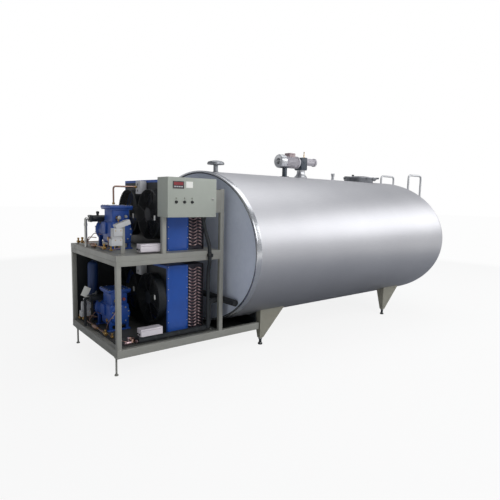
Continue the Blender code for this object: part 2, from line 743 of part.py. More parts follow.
def guard(name, y, z):
    """A flat fan guard that carries the fan's motor."""
    x1 = at(-UNIT_FACE - FAN_COWL - GAP)
    x0 = x1 - GUARD_T
    loops = [sector_loop(FAN_BORE + FAN_RIM, 36)]
    arms = 4
    rings = ((0.066, 0.145), (0.155, FAN_BORE - 0.008))
    for r0, r1 in rings:
        spread = 0.006 / r1
        for k in range(arms):
            a = math.tau * k / arms + math.pi / 4.0
            loops.append(sector(r0, r1, a + spread, a + math.tau / arms - spread, 5))
    where = Matrix.Translation(((x0 + x1) / 2.0, y, z)) @ YZ
    ob = flat(name, loops, GUARD_T, where)
    length = FAN_COWL - 0.010
    motor = rod("fan_motor", FAN_MOTOR_R, (x0 + 0.002, y, z), (x0 + length, y, z), 24)
    join(ob, motor)
    finish(smooth(ob), "black_paint")


def sector_loop(r, steps):
    out = []
    for i in range(steps):
        t = math.tau * i / steps
        out.append((r * math.cos(t), r * math.sin(t)))
    return out


def rotor_mesh():
    hub = rod("rotor_master", ROTOR_HUB, (0, 0, 0), (ROTOR_L, 0, 0), 24)
    chord = 0.125
    reach = math.sqrt(ROTOR_R ** 2 - (chord / 2.0) ** 2) - 0.002
    start = ROTOR_HUB * 0.7
    blades = []
    for k in range(BLADES):
        turn = Matrix.Rotation(math.tau * k / BLADES, 4, "X")
        pitch = Matrix.Rotation(math.radians(28.0), 4, "Z")
        blade = box("blade", (-0.003, 0.003), (start, reach), (-chord / 2.0, chord / 2.0))
        middle = Matrix.Translation((ROTOR_L / 2.0, (start + reach) / 2.0, 0.0))
        tilt = Matrix.Rotation(math.radians(28.0), 4, "Y")
        blade.matrix_world = turn @ middle @ tilt
        blades.append(blade)
    join(hub, *blades)
    done = applied(hub)
    mesh = done.data.copy()
    world = done.matrix_world.copy()
    mesh.transform(world)
    bpy.data.objects.remove(done, do_unlink=True)
    for blade in blades:
        bpy.data.objects.remove(blade, do_unlink=True)
    return mesh


def rotor(name, mesh, y, z):
    x0 = at(-UNIT_FACE) + 0.004
    ob = place(name, mesh.copy(), Matrix.Translation((x0, y, z)))
    finish(smooth(ob), "black_paint")


def compressor(tag, z0):
    """A semi-hermetic compressor lying across the rack."""
    name = "compressor_" + tag
    cx, cy = at(-COMP_X), COMP_Y[tag]
    zc = z0 + 0.175
    y0, y1 = cy - COMP_LEN / 2.0, cy + COMP_LEN / 2.0
    body = rod(name, COMP_R, (cx, y0, zc), (cx, y1, zc), 28)
    case = box("crankcase", (cx - 0.103, cx + 0.103), (y0 + 0.03, y0 + 0.27),
               (z0 + 0.055, zc + 0.10))
    block = box("cylinders", (cx - 0.087, cx + 0.087), (y0 + 0.04, y0 + 0.26),
                (zc + 0.05, z0 + COMP_H - 0.035))
    head = box("head", (cx - 0.117, cx + 0.117), (y0 + 0.02, y0 + 0.28),
               (z0 + COMP_H - 0.04, z0 + COMP_H))
    cover = rod("end_cover", COMP_R + 0.012, (cx, y1 - 0.005, zc), (cx, y1 + 0.022, zc), 28)
    vx, vy, vz = cx - 0.06, y1 - 0.045, zc + 0.115
    port = rod("suction_port", 0.030, (vx, vy, zc + 0.05), (vx, vy, vz), 20)
    valve = rod("suction_valve", 0.034, (vx + 0.045, vy, vz), (vx - 0.110, vy, vz), 20)
    flange = rod("valve_flange", 0.042, (vx - 0.135, vy, vz), (vx - 0.105, vy, vz), 20)
    drop = tube("suction_drop", route([(vx - 0.12, vy, vz), (vx - 0.168, vy, vz),
                                       (vx - 0.168, vy, z0)], 0.028), 0.014, 2)
    feet = []
    for y in (y0 + 0.06, y1 - 0.06):
        feet.append(box("foot", (cx - 0.12, cx + 0.12), (y - 0.02, y + 0.02),
                        (z0, zc - 0.06)))
    join(body, case, block, head, cover, port, valve, flange, drop, *feet)
    finish(smooth(body), "blue_paint")


def oil_separator(z0):
    """An upright pressure vessel with dished ends, behind the compressor."""
    r, h = 0.055, 0.66
    profile = [(0.0, h), (r * 0.55, h - 0.006), (r * 0.9, h - 0.024), (r, h - 0.05),
               (r, 0.05), (r * 0.9, 0.03), (r * 0.9, 0.0), (0.0, 0.0)]
    where = Matrix.Translation((at(-1.025), 0.480, z0))
    finish(smooth(turned("oil_separator", profile, where, 28)), "blue_paint")


def junction_box(name, z0, lift):
    """A wiring box on a foot that stands behind the suction line."""
    x1 = at(-UNIT_FACE - FAN_COWL - 0.016)
    x0 = x1 - 0.222
    ob = box(name, (x0, x1), (-0.598, -0.505), (z0 + lift, z0 + lift + 0.072))
    foot = box("junction_foot", (x0 + 0.02, x1 - 0.02), (-0.535, -0.515), (z0, z0 + lift + 0.01))
    join(ob, foot)
    finish(ob, "white_plastic")


def switch_stand(deck, x, y, z0):
    """An upright strip on a deck, with switches and a sloping gauge plate."""
    post = box("switch_post", (x - 0.020, x + 0.020), (y - 0.003, y + 0.003),
               (z0 - 0.002, z0 + 0.285))
    tilt = Matrix.Rotation(math.radians(-20.0), 4, "Y")
    plate = box("gauge_plate", (x - 0.075, x + 0.065), (y - 0.030, y + 0.030),
                (z0 + 0.250, z0 + 0.290), tilt)
    upper = box("switch_a", (x - 0.095, x - 0.015), (y - 0.035, y + 0.035),
                (z0 + 0.165, z0 + 0.235))
    lower = box("switch_b", (x - 0.115, x - 0.015), (y - 0.030, y + 0.030),
                (z0 + 0.080, z0 + 0.140))
    join(deck, post, plate, upper, lower)


# ---------------------------------------------------------------- pipes
def pipes():
    r = HEADER_R
    x = at(END_INSET) - GAP - r - 0.003
    z = 0.575
    end = HEADER_SHARE * TANK_HALF_WIDTH
    stub_y = 0.045 - end
    header = rod("header_pipe", r, (x, -0.20, z), (x, -end, z), 28)
    stub = rod("header_stub", r * 0.8, (x, stub_y, z), (at(END_INSET) - GAP, stub_y, z), 24)
    join(header, stub)
    finish(smooth(header), "black_foam")
    shoulder = x - HEADER_R
    y = -0.570
    r = 0.026
    z0 = TRAY_TOP + BASE_H_LOW + r + 2 * GAP
    line = tube("suction_line",
                route([(at(-0.97), y, z0), (at(-0.19), y, z0), (at(-0.19), y, z),
                       (shoulder - GAP, y, z)], 0.06), r, 3)
    finish(smooth(line), "black_foam")
    head = MID_TOP + GAP + BASE_H_UP + GAP + COMP_H + GAP
    cx = at(-COMP_X)
    line = tube("discharge_pipe",
                route([(cx, 0.03, head), (cx, 0.03, 1.735),
                       (at(-UNIT_FACE) - TERMINAL_REACH - GAP, 0.03, 1.735)],
                      0.03), 0.009, 2)
    finish(smooth(line), "copper")


# ---------------------------------------------------------------- control box
def control_box():
    x0 = at(-BOX_X0)
    x1 = x0 + BOX_W
    z0, z1 = BOX_Z, BOX_Z + BOX_H
    yf, yb = -BOX_FRONT, -BOX_FRONT + BOX_DEPTH
    t = BOX_SHEET
    body = box("box_body", (x0, x1), (yf, yb), (z0, z1))
    hollow = box("box_hollow", (x0 + t, x1 - t), (yf - 0.1, yb - t), (z0 + t, z1 - t))
    cut(body, hollow)
    finish(body, "box_paint")

    hinge = bpy.data.objects.new("box_hinge", None)
    axis = Matrix.Translation((x0, yf - GAP, (z0 + z1) / 2.0))
    hinge.matrix_world = axis
    PARTS.objects.link(hinge)
    front = yf - GAP - DOOR_T
    door = box("box_door", (x0, x1), (front, yf - GAP), (z0, z1))
    face = front + 0.002
    extras = [box("display", (x0 + 0.052, x0 + 0.166), (front - 0.006, face),
                  (z1 - 0.104, z1 - 0.036))]
    for bx in (0.088, 0.174, 0.256):
        extras.append(rod("button", BUTTON_R, (x0 + bx, face, z0 + 0.141),
                          (x0 + bx, front - 0.018, z0 + 0.141), 20))
    extras.append(rod("lock", 0.010, (x1 - 0.040, face, z0 + 0.175),
                      (x1 - 0.040, front - 0.006, z0 + 0.175), 16))
    join(door, *extras)
    finish(door, "box_paint")
    keep = door.matrix_world.copy()
    door.parent = hinge
    door.matrix_parent_inverse = axis.inverted()
    door.matrix_world = keep

    base = MID_TOP + GAP + BASE_H_UP
    ym = (yf + yb) / 2.0
    post = box("box_post", (x0 - 0.006, x0 + 0.034), (ym - 0.020, ym + 0.020),
               (base + GAP, z0 - GAP))
    finish(post, "grey_paint")
    rear0 = at(-REAR_POST_X)
    plate = box("box_bracket", (x1 + GAP, rear0 - GAP), (-RACK_HALF, -RACK_HALF + 0.012),
                (z0 + 0.04, z1 - 0.10))
    finish(plate, "grey_paint")


def build():
    shell()
    front()
    rear()
    clearance = tank_clearance()
    for side, tag in ((-1, "near"), (1, "far")):
        leg("leg_front_" + tag, LEG_FRONT_X, side, clearance)
        leg("leg_rear_" + tag, LEG_REAR_X, side, clearance)
    manway()
    agitator()
    vent()
    nozzle()
    ladder()
    rack()
    blades = rotor_mesh()
    half = RACK_HALF - POST - GAP
    end = at(-REAR_POST_X) - GAP
    start = at(-RACK_REACH)
    tiers = (("low", TRAY_TOP + GAP, BASE_H_LOW, start + CROSS + GAP, half),
             ("up", MID_TOP + GAP, BASE_H_UP, start, RACK_HALF))
    for tag, z, height, begin, width in tiers:
        deck = unit_base("base_" + tag, z, z + height, begin, end, width)
        x, y = SWITCH_PLACES[tag]
        switch_stand(deck, at(x), y, z + height)
        finish(deck, "grey_paint")
        seat = z + height + GAP
        housing(tag, seat)
        coil("coil_" + tag, seat)
        zf = seat + UNIT_H / 2.0
        for side, where in ((-1, "near"), (1, "far")):
            guard("guard_%s_%s" % (tag, where), side * FAN_Y, zf)
            rotor("fan_%s_%s" % (tag, where), blades, side * FAN_Y, zf)
        compressor(tag, seat)
        junction_box("junction_" + tag, seat, 0.060 if tag == "low" else 0.016)
    oil_separator(TRAY_TOP + BASE_H_LOW + 2 * GAP)
    pipes()
    control_box()
    bpy.context.view_layer.update()


build()
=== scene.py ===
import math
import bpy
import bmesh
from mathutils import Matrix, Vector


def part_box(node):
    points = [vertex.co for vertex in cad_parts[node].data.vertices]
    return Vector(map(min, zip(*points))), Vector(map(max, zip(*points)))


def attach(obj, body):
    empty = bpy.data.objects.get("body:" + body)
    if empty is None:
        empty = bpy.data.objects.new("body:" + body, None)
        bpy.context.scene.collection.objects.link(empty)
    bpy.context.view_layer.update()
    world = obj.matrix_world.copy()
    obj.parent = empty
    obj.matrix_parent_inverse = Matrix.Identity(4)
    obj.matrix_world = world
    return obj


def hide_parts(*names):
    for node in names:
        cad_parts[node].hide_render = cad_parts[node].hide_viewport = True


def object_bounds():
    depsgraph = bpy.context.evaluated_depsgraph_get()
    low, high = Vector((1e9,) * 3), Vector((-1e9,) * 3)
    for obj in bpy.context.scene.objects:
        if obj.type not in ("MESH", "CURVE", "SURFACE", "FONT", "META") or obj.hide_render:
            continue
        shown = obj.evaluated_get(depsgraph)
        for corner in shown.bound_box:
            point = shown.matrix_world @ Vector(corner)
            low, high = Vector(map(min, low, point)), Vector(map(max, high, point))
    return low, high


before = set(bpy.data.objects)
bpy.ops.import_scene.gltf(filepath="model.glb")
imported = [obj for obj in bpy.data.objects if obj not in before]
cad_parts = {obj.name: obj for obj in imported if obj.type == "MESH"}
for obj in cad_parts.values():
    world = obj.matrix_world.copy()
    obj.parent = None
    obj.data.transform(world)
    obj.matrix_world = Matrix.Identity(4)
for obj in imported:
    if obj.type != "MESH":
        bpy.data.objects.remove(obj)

# %% [markdown]
# # A bulk milk cooling tank with its refrigeration rack
# The solid model comes in as a fixed frame: where each part is, how large it is and
# what moves. This lesson gives it its real surfaces and the small parts that a plain
# solid leaves out. Every length is in metres, in the frame's own axes: X runs along
# the tank towards its domed end, the control box is on the -Y side, and Z is up.

CAD_BOX = [list(map(float, corner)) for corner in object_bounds()]
SIZE = Vector(CAD_BOX[1]) - Vector(CAD_BOX[0])
print("frame", [round(v, 3) for v in SIZE], "with", len(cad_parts), "nodes")

# %% [markdown]
# Modelling starts with a clean selection, because an operator acts on all that is
# selected. Small helpers take an object, pick its faces or edges by where they are,
# inset what is picked, leave edit mode again and apply a modifier. They keep the steps
# below as short as they are by hand.

# %% Selecting
def clear():
    if bpy.context.object and bpy.context.object.mode != "OBJECT":
        bpy.ops.object.mode_set(mode="OBJECT")
    bpy.ops.object.select_all(action="DESELECT")


def take(piece, *others):
    clear()
    for one in (piece,) + others:
        one.select_set(True)
    bpy.context.view_layer.objects.active = piece


def pick(piece, rule, kind="FACE"):
    """Selects faces or edges in edit mode where rule(middle, direction) holds."""
    if piece.mode != "EDIT":
        take(piece)
        bpy.ops.object.mode_set(mode="EDIT")
    bpy.ops.mesh.select_mode(type=kind)
    bpy.ops.mesh.select_all(action="DESELECT")
    bm = bmesh.from_edit_mesh(piece.data)
    for item in bm.faces if kind == "FACE" else bm.edges:
        if kind == "FACE":
            middle, way = item.calc_center_median(), item.normal
        else:
            ends = [v.co for v in item.verts]
            middle, way = (ends[0] + ends[1]) / 2, (ends[1] - ends[0]).normalized()
        item.select_set(bool(rule(middle, way)))
    bm.select_flush_mode()
    bmesh.update_edit_mesh(piece.data)


def press(piece, rule, *steps):
    """Insets the picked faces by (thickness, depth) steps, as a press or a mould does."""
    pick(piece, rule)
    for thickness, depth in steps:
        bpy.ops.mesh.inset(thickness=thickness, depth=depth)
    bpy.ops.object.mode_set(mode="OBJECT")
    return piece


def settle(piece, place=None):
    """Leaves edit mode and moves the piece's place into its mesh."""
    take(piece)
    if place is not None:
        piece.matrix_world = place @ piece.matrix_world
    bpy.ops.object.transform_apply(location=True, rotation=True, scale=True)
    return piece


def outward(piece):
    """Closes doubled points and turns every face outwards."""
    take(piece)
    bpy.ops.object.mode_set(mode="EDIT")
    bpy.ops.mesh.select_all(action="SELECT")
    bpy.ops.mesh.remove_doubles(threshold=0.00002)
    bpy.ops.mesh.normals_make_consistent(inside=False)
    bpy.ops.object.mode_set(mode="OBJECT")
    return piece


def apply(piece, kind, **settings):
    """Adds a modifier, sets it and applies it."""
    take(piece)
    mod = piece.modifiers.new(kind.title(), kind)
    for name, value in settings.items():
        setattr(mod, name, value)
    bpy.ops.object.modifier_apply(modifier=mod.name)
    return piece


def soften(piece, width=0.0015, segments=2, angle=30):
    """Rounds the sharp edges a little, as on any rolled, cut or moulded part."""
    return apply(piece, "BEVEL", width=width, segments=segments, limit_method="ANGLE",
                 angle_limit=math.radians(angle), harden_normals=False)


# %% [markdown]
# Most parts of this machine are folded sheet, rolled section, turned metal or bent
# tube. Each of these four starts from one primitive: a cube that is scaled and
# bevelled, a circle that is extruded and resized up a profile, a cylinder laid between
# two points, and a circle that is carried along a line. Wire rings are a torus. A part
# that repeats is modelled once and copied.

# %% Block, turned part, rod and tube
def block(name, low, high, edge=0.0015, segments=2):
    """Sheet or section with rounded corners between two opposite corners."""
    low, high = Vector(low), Vector(high)
    clear()
    bpy.ops.mesh.primitive_cube_add(size=1, location=(low + high) / 2, scale=high - low)
    piece = bpy.context.object
    piece.name = name
    settle(piece)
    return soften(piece, edge, segments) if edge else piece


UP = Matrix.Identity(4)
ALONG_X = Matrix.Rotation(math.radians(90), 4, "Y")
ALONG_Y = Matrix.Rotation(math.radians(-90), 4, "X")
AGAINST_X = Matrix.Rotation(math.radians(-90), 4, "Y")
AGAINST_Y = Matrix.Rotation(math.radians(90), 4, "X")


def turned(name, steps, at=(0, 0, 0), way=UP, sides=32, close=True, sweep=(1, 1, 1)):
    """A round part: a circle drawn up through (radius, height) steps."""
    radius, height = steps[0]
    clear()
    bpy.ops.mesh.primitive_circle_add(vertices=sides, radius=radius, location=(0, 0, height))
    piece = bpy.context.object
    piece.name = name
    settle(piece)
    bpy.ops.object.mode_set(mode="EDIT")
    bpy.ops.mesh.select_mode(type="EDGE")
    bpy.ops.mesh.select_all(action="SELECT")
    if close:
        bpy.ops.mesh.edge_face_add()
        bpy.ops.mesh.select_all(action="SELECT")
    for r, z in steps[1:]:
        bpy.ops.mesh.extrude_region_move(TRANSFORM_OT_translate={"value": (0, 0, z - height)})
        grow = max(r, 1e-5) / max(radius, 1e-5)
        bpy.ops.transform.resize(value=(grow, grow, 1), center_override=(0, 0, z))
        radius, height = r, z
    bpy.ops.object.mode_set(mode="OBJECT")
    if close:
        cap_ends(piece)
    outward(piece)
    return settle(piece, Matrix.Translation(at) @ way @ Matrix.Diagonal((*sweep, 1)))


def cap_ends(piece):
    """Fills what is open at the first and last ring."""
    take(piece)
    bpy.ops.object.mode_set(mode="EDIT")
    bpy.ops.mesh.select_mode(type="EDGE")
    bpy.ops.mesh.select_all(action="DESELECT")
    bpy.ops.mesh.select_non_manifold(extend=False, use_wire=False, use_boundary=True,
                                     use_multi_face=False, use_non_contiguous=False,
                                     use_verts=False)
    bpy.ops.mesh.fill_holes(sides=0)
    bpy.ops.object.mode_set(mode="OBJECT")


def rod(name, radius, start, end, sides=20, edge=0.0008):
    """A round bar, pin, pad or button between two points, with a broken edge."""
    start, end = Vector(start), Vector(end)
    span = end - start
    clear()
    turn = span.to_track_quat("Z", "Y").to_euler()
    bpy.ops.mesh.primitive_cylinder_add(vertices=sides, radius=radius, depth=span.length,
                                        location=(start + end) / 2, rotation=turn)
    piece = bpy.context.object
    piece.name = name
    settle(piece)
    return soften(piece, edge, 1) if edge else piece


def bend(points, radius, steps=5):
    """Rounds every corner of a line of points."""
    points = [Vector(p) for p in points]
    out = [points[0]]
    for a, b, c in zip(points, points[1:], points[2:]):
        u, v = (a - b), (c - b)
        room = min(radius, u.length * 0.45, v.length * 0.45)
        p, q = b + u.normalized() * room, b + v.normalized() * room
        for i in range(steps + 1):
            t = i / steps
            out.append(p * (1 - t) ** 2 + b * 2 * t * (1 - t) + q * t ** 2)
    return out + [points[-1]]


def tube(name, points, radius, sides=12, corner=0.03, steps=5):
    """A bent tube: a circle extruded from point to point, turned with the line."""
    line = bend(points, corner, steps)
    clear()
    start = (line[1] - line[0]).to_track_quat("Z", "Y")
    bpy.ops.mesh.primitive_circle_add(vertices=sides, radius=radius, location=line[0],
                                      rotation=start.to_euler(), fill_type="NGON")
    piece = bpy.context.object
    piece.name = name
    settle(piece)
    bpy.ops.object.mode_set(mode="EDIT")
    bm = bmesh.from_edit_mesh(piece.data)
    ring = list(bm.verts)
    way = (line[1] - line[0]).normalized()
    for i in range(1, len(line)):
        after = (line[min(i + 1, len(line) - 1)] - line[i - 1]).normalized()
        turn = way.rotation_difference(after)
        mid = line[i - 1]
        fresh = [bm.verts.new(line[i] + turn @ (v.co - mid)) for v in ring]
        for j in range(sides):
            bm.faces.new((ring[j], ring[(j + 1) % sides], fresh[(j + 1) % sides], fresh[j]))
        ring, way = fresh, after
    bm.faces.new(ring)
    bmesh.update_edit_mesh(piece.data)
    bpy.ops.object.mode_set(mode="OBJECT")
    return outward(piece)


def hoop(centre, radius, wire_radius, way=(0, math.pi / 2, 0), sides=48, wire_sides=6):
    """A closed ring of round wire."""
    clear()
    bpy.ops.mesh.primitive_torus_add(location=centre, rotation=way, major_radius=radius,
                                     minor_radius=wire_radius, major_segments=sides,
                                     minor_segments=wire_sides)
    return settle(bpy.context.object)


def copy_of(piece, name, move=(0, 0, 0), turn=None, about=(0, 0, 0)):
    """Another of the same part, with its own mesh."""
    take(piece)
    bpy.ops.object.duplicate(linked=False)
    twin = bpy.context.object
    twin.name = name
    place = Matrix.Translation(move)
    if turn is not None:
        place = place @ Matrix.Translation(about) @ turn @ Matrix.Translation(-Vector(about))
    return settle(twin, place)


def weld(name, pieces):
    """Joins loose parts into one object."""
    take(*pieces)
    if len(pieces) > 1:
        bpy.ops.object.join()
    piece = bpy.context.object
    piece.name = name
    return piece


def cut(piece, tool):
    """Takes one solid out of another."""
    apply(piece, "BOOLEAN", operation="DIFFERENCE", object=tool, solver="EXACT")
    bpy.data.objects.remove(tool)
    return piece


def done(piece, body, finish, replaces=(), angle=35):
    """Shades a finished part, gives it its finish and lets it ride on its body."""
    take(piece)
    bpy.ops.object.shade_smooth_by_angle(angle=math.radians(angle))
    piece.data.materials.clear()
    piece.data.materials.append(finish)
    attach(piece, body)
    if replaces:
        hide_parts(*replaces)
    return piece


print("modelling helpers are ready")

# %% [markdown]
# ## Materials
# Each finish starts from what the real one is and how its surface was made. Colours are
# written as hex values, which a screen shows directly, and one function turns them to
# the linear light that a shader adds up. Another adds a node with its settings and
# links, so that a whole material reads as a short list.

# %% Colour and nodes
def linear(code, alpha=1.0):
    parts = [int(code[i:i + 2], 16) / 255 for i in (1, 3, 5)]
    return tuple(c / 12.92 if c <= 0.04045 else ((c + 0.055) / 1.055) ** 2.4
                 for c in parts) + (alpha,)


def add(tree, kind, inputs=None, **settings):
    """One shader node. A socket given as an input is linked, anything else is set."""
    made = tree.nodes.new("ShaderNode" + kind)
    for name, value in settings.items():
        setattr(made, name, value)
    for name, value in (inputs or {}).items():
        if isinstance(value, bpy.types.NodeSocket):
            tree.links.new(value, made.inputs[name])
        else:
            made.inputs[name].default_value = value
    return made


def finish(name, **shader):
    """An empty material with its shader, and the object's own coordinates in metres."""
    mat = bpy.data.materials.new(name)
    mat.use_nodes = True
    tree = mat.node_tree
    tree.nodes.clear()
    surface = add(tree, "BsdfPrincipled", {k.replace("_", " "): v for k, v in shader.items()})
    add(tree, "OutputMaterial", {"Surface": surface.outputs["BSDF"]})
    place = add(tree, "TexCoord").outputs["Object"]
    return mat, tree, surface, place


def shades(tree, amount, colours):
    """A colour ramp through evenly spaced colours."""
    ramp = add(tree, "ValToRGB", {"Fac": amount})
    stops = ramp.color_ramp.elements
    while len(stops) < len(colours):
        stops.new(0.5)
    for i, code in enumerate(colours):
        stops[i].position = i / (len(colours) - 1)
        stops[i].color = linear(code)
    return ramp.outputs["Color"]


def wire(tree, socket, target):
    tree.links.new(socket, target)


print("stainless in linear light:", [round(c, 3) for c in linear("#c4c7cc")])

# %% [markdown]
# The tank is clad in brushed stainless sheet, cold rolled and then drawn under an
# abrasive belt. The belt leaves fine lines round the barrel, which spread a highlight
# into a soft band. Real lines are 0.05 mm apart, too fine to see, so they are drawn as
# faint streaks of about 4 mm. The sheet is painted darker towards the ground, a painted
# shade for the shaded floor that the lower barrel reflects.

# %% Stainless finishes
def stainless(name, light, dark, rough, streak=(3.0, 3.0, 60.0), grain=0.04, painted_low_shade=0.0,
              metal=1.0):
    mat, tree, surface, place = finish(name, Metallic=metal, Roughness=rough)
    lines = add(tree, "Mapping", {"Vector": place, "Scale": streak})
    noise = add(tree, "TexNoise", {"Vector": lines.outputs[0], "Scale": 4.0, "Detail": 5.0,
                                   "Roughness": 0.6})
    cloud = add(tree, "TexNoise", {"Vector": place, "Scale": 1.1, "Detail": 3.0})
    both = add(tree, "Mix", {"Factor": 0.5, "A": noise.outputs["Fac"],
                             "B": cloud.outputs["Fac"]}, data_type="FLOAT")
    tone = shades(tree, both.outputs["Result"], [dark, dark, light, light])
    # Painted shade: lower down, the base colour is mixed towards dark grey for the shaded ground
    # the barrel reflects.
    if painted_low_shade:
        height = add(tree, "SeparateXYZ", {"Vector": place}).outputs["Z"]
        low = add(tree, "MapRange", {"Value": height, "From Min": 0.25, "From Max": 1.25,
                                     "To Min": painted_low_shade, "To Max": 0.0},
                  interpolation_type="SMOOTHSTEP")
        painted_shade_mix = add(tree, "Mix", {"Factor": low.outputs["Result"], "A": tone,
                                 "B": linear("#50555c")}, data_type="RGBA")
        tone = painted_shade_mix.outputs["Result"]
    wire(tree, tone, surface.inputs["Base Color"])
    shine = add(tree, "MapRange", {"Value": noise.outputs["Fac"], "To Min": rough - 0.06,
                                   "To Max": rough + 0.08})
    wire(tree, shine.outputs["Result"], surface.inputs["Roughness"])
    relief = add(tree, "Bump", {"Height": noise.outputs["Fac"], "Strength": grain,
                                "Distance": 0.002})
    wire(tree, relief.outputs["Normal"], surface.inputs["Normal"])
    return mat


# The shell's sheet carries the painted shade towards the bottom.
BRUSHED = stainless("brushed_304_sheet", "#cfcfd2", "#c3c3c7", 0.48, painted_low_shade=0.30)
BRUSHED_PART = stainless("satin_304_fitting", "#d2d3d6", "#b4b6ba", 0.30, (30, 30, 4))
POLISHED = stainless("polished_304_band", "#d8d9dc", "#c9cbcf", 0.22, (6, 6, 6), 0.01)
END_SHEET = stainless("mill_finish_end_sheet", "#d3dae8", "#c7cfdf", 0.55, (5, 5, 5), 0.02,
                      metal=0.12)
INNER = stainless("milk_contact_304", "#dfe0e2", "#cfd0d3", 0.24, (3, 3, 40), 0.02)
WORN_PART = stainless("dull_304_fitting", "#a2a4a8", "#888a8e", 0.38, (30, 30, 4))
# Painted reflection: a darker copy of the stainless, for the dark surroundings that the polished
# neck reflects.
DARK_REFLECTION_STEEL = stainless("304_painted_dark_reflection", "#8c8e92", "#74767a", 0.44, (30, 30, 4))
TUBE = stainless("satin_304_tube", "#d2d3d5", "#bcbdbf", 0.50, (30, 30, 4))
print("eight stainless finishes")

# %% [markdown]
# Rack and legs are brushed by hand with grey enamel over mild steel. Enamel is a little
# glossy, shows a soft ripple about 8 mm across, and dulls where dust lies. Casings are
# powder coated: an even film with a fine orange peel of about 1.5 mm. Both are made by
# one function from a tone, a darker worn tone, a gloss and the size of the ripple.

# %% Paints
def painted(name, tone, worn, rough, ripple_mm, relief=0.12, wear=0.35):
    mat, tree, surface, place = finish(name, Roughness=rough, IOR=1.5)
    patch = add(tree, "TexNoise", {"Vector": place, "Scale": 5.0, "Detail": 6.0,
                                   "Roughness": 0.65})
    amount = add(tree, "MapRange", {"Value": patch.outputs["Fac"], "From Min": 0.42,
                                    "From Max": 0.72, "To Max": wear})
    colour = add(tree, "Mix", {"Factor": amount.outputs["Result"], "A": linear(tone),
                               "B": linear(worn)}, data_type="RGBA")
    wire(tree, colour.outputs["Result"], surface.inputs["Base Color"])
    gloss = add(tree, "MapRange", {"Value": patch.outputs["Fac"], "From Min": 0.3,
                                   "From Max": 0.7, "To Min": rough - 0.07,
                                   "To Max": rough + 0.12})
    wire(tree, gloss.outputs["Result"], surface.inputs["Roughness"])
    peel = add(tree, "TexNoise", {"Vector": place, "Scale": 1000.0 / ripple_mm / 2.0,
                                  "Detail": 2.0})
    bump = add(tree, "Bump", {"Height": peel.outputs["Fac"], "Strength": relief,
                              "Distance": 0.001})
    wire(tree, bump.outputs["Normal"], surface.inputs["Normal"])
    return mat


RACK_ENAMEL = painted("grey_enamel_on_steel", "#8f8f89", "#797973", 0.44, 8.0)
LEG_ENAMEL = painted("pale_grey_enamel_on_folded_sheet", "#8e8c80", "#787568", 0.48, 8.0)
BLUE = painted("blue_powder_coat", "#1a4fa6", "#153f86", 0.34, 1.5)
BLUE_CAST = painted("blue_enamel_on_cast_iron", "#1b4797", "#12336f", 0.36, 3.0, 0.30)
BLACK = painted("black_powder_coat", "#14181b", "#23282b", 0.50, 1.5)
# A darker copy of the blue enamel: painted shade for the separator deep inside the rack.
BLUE_PAINTED_SHADE = painted("blue_enamel_painted_shade", "#163466", "#12294f", 0.42, 3.0, 0.20)
BLACK_CAST = painted("black_enamel_on_cast_iron", "#22272b", "#3a3d40", 0.42, 3.0, 0.30)
BOX_GREY = painted("grey_green_textured_powder_coat", "#9ea39b", "#92978f", 0.50, 1.2, 0.22)
SLATE = painted("slate_enamel_on_cast_iron", "#434b55", "#2f353c", 0.44, 3.0, 0.30)
# Painted shade: the tray's near-black stands in for the shade under the tank, with random lighter
# dust patches.
TRAY_PAINTED_SHADE = painted("dark_tray_dust_and_painted_shade", "#1c1e1f", "#3d3b37", 0.66, 6.0, 0.2, 0.6)
CAST_ALLOY = painted("cast_aluminium_motor_shell", "#b9b6bc", "#9c999f", 0.40, 2.0, 0.3)
# Painted shade: the low deck is a dark grey for the shade under the upper deck, with random dust
# patches.
LOW_DECK_PAINTED_SHADE = painted("grey_enamel_dust_and_painted_shade", "#4a4b48", "#2f2f2c", 0.56, 6.0, 0.2,
                    0.7)
print("twelve paints")

# %% [markdown]
# The pipes are drawn copper, which darkens unevenly in air, and forged brass valves.
# The cold line is wrapped in black nitrile foam, matt and full of 1 mm pores. Wiring
# boxes and tags are moulded ABS, fan blades are glass filled nylon, and the cables are
# rubber. One function does these plain bodies; metals keep the default IOR.

# %% Plastics, foam and small metals
def body(name, tone, second, rough, metallic=0.0, cell_mm=2.0, relief=0.1, patch=9.0):
    mat, tree, surface, place = finish(name, Roughness=rough, Metallic=metallic)
    spots = add(tree, "TexNoise", {"Vector": place, "Scale": patch, "Detail": 5.0})
    tint = shades(tree, spots.outputs["Fac"], [tone, tone, second])
    wire(tree, tint, surface.inputs["Base Color"])
    cells = add(tree, "TexVoronoi", {"Vector": place, "Scale": 1000.0 / cell_mm})
    bump = add(tree, "Bump", {"Height": cells.outputs["Distance"], "Strength": relief,
                              "Distance": 0.0006})
    wire(tree, bump.outputs["Normal"], surface.inputs["Normal"])
    return mat


COPPER = body("drawn_copper_tube", "#a5877b", "#80655a", 0.30, 1.0, 3.0, 0.04, 14.0)
BEND_COPPER = body("tinned_copper_bend", "#c3a9ab", "#9a8287", 0.34, 1.0, 3.0, 0.04, 20.0)
BRASS = body("forged_brass", "#b6945c", "#8d7142", 0.32, 1.0, 2.0, 0.06)
ZINC = body("galvanised_sheet", "#a9a6aa", "#8d8a90", 0.42, 1.0, 14.0, 0.08)
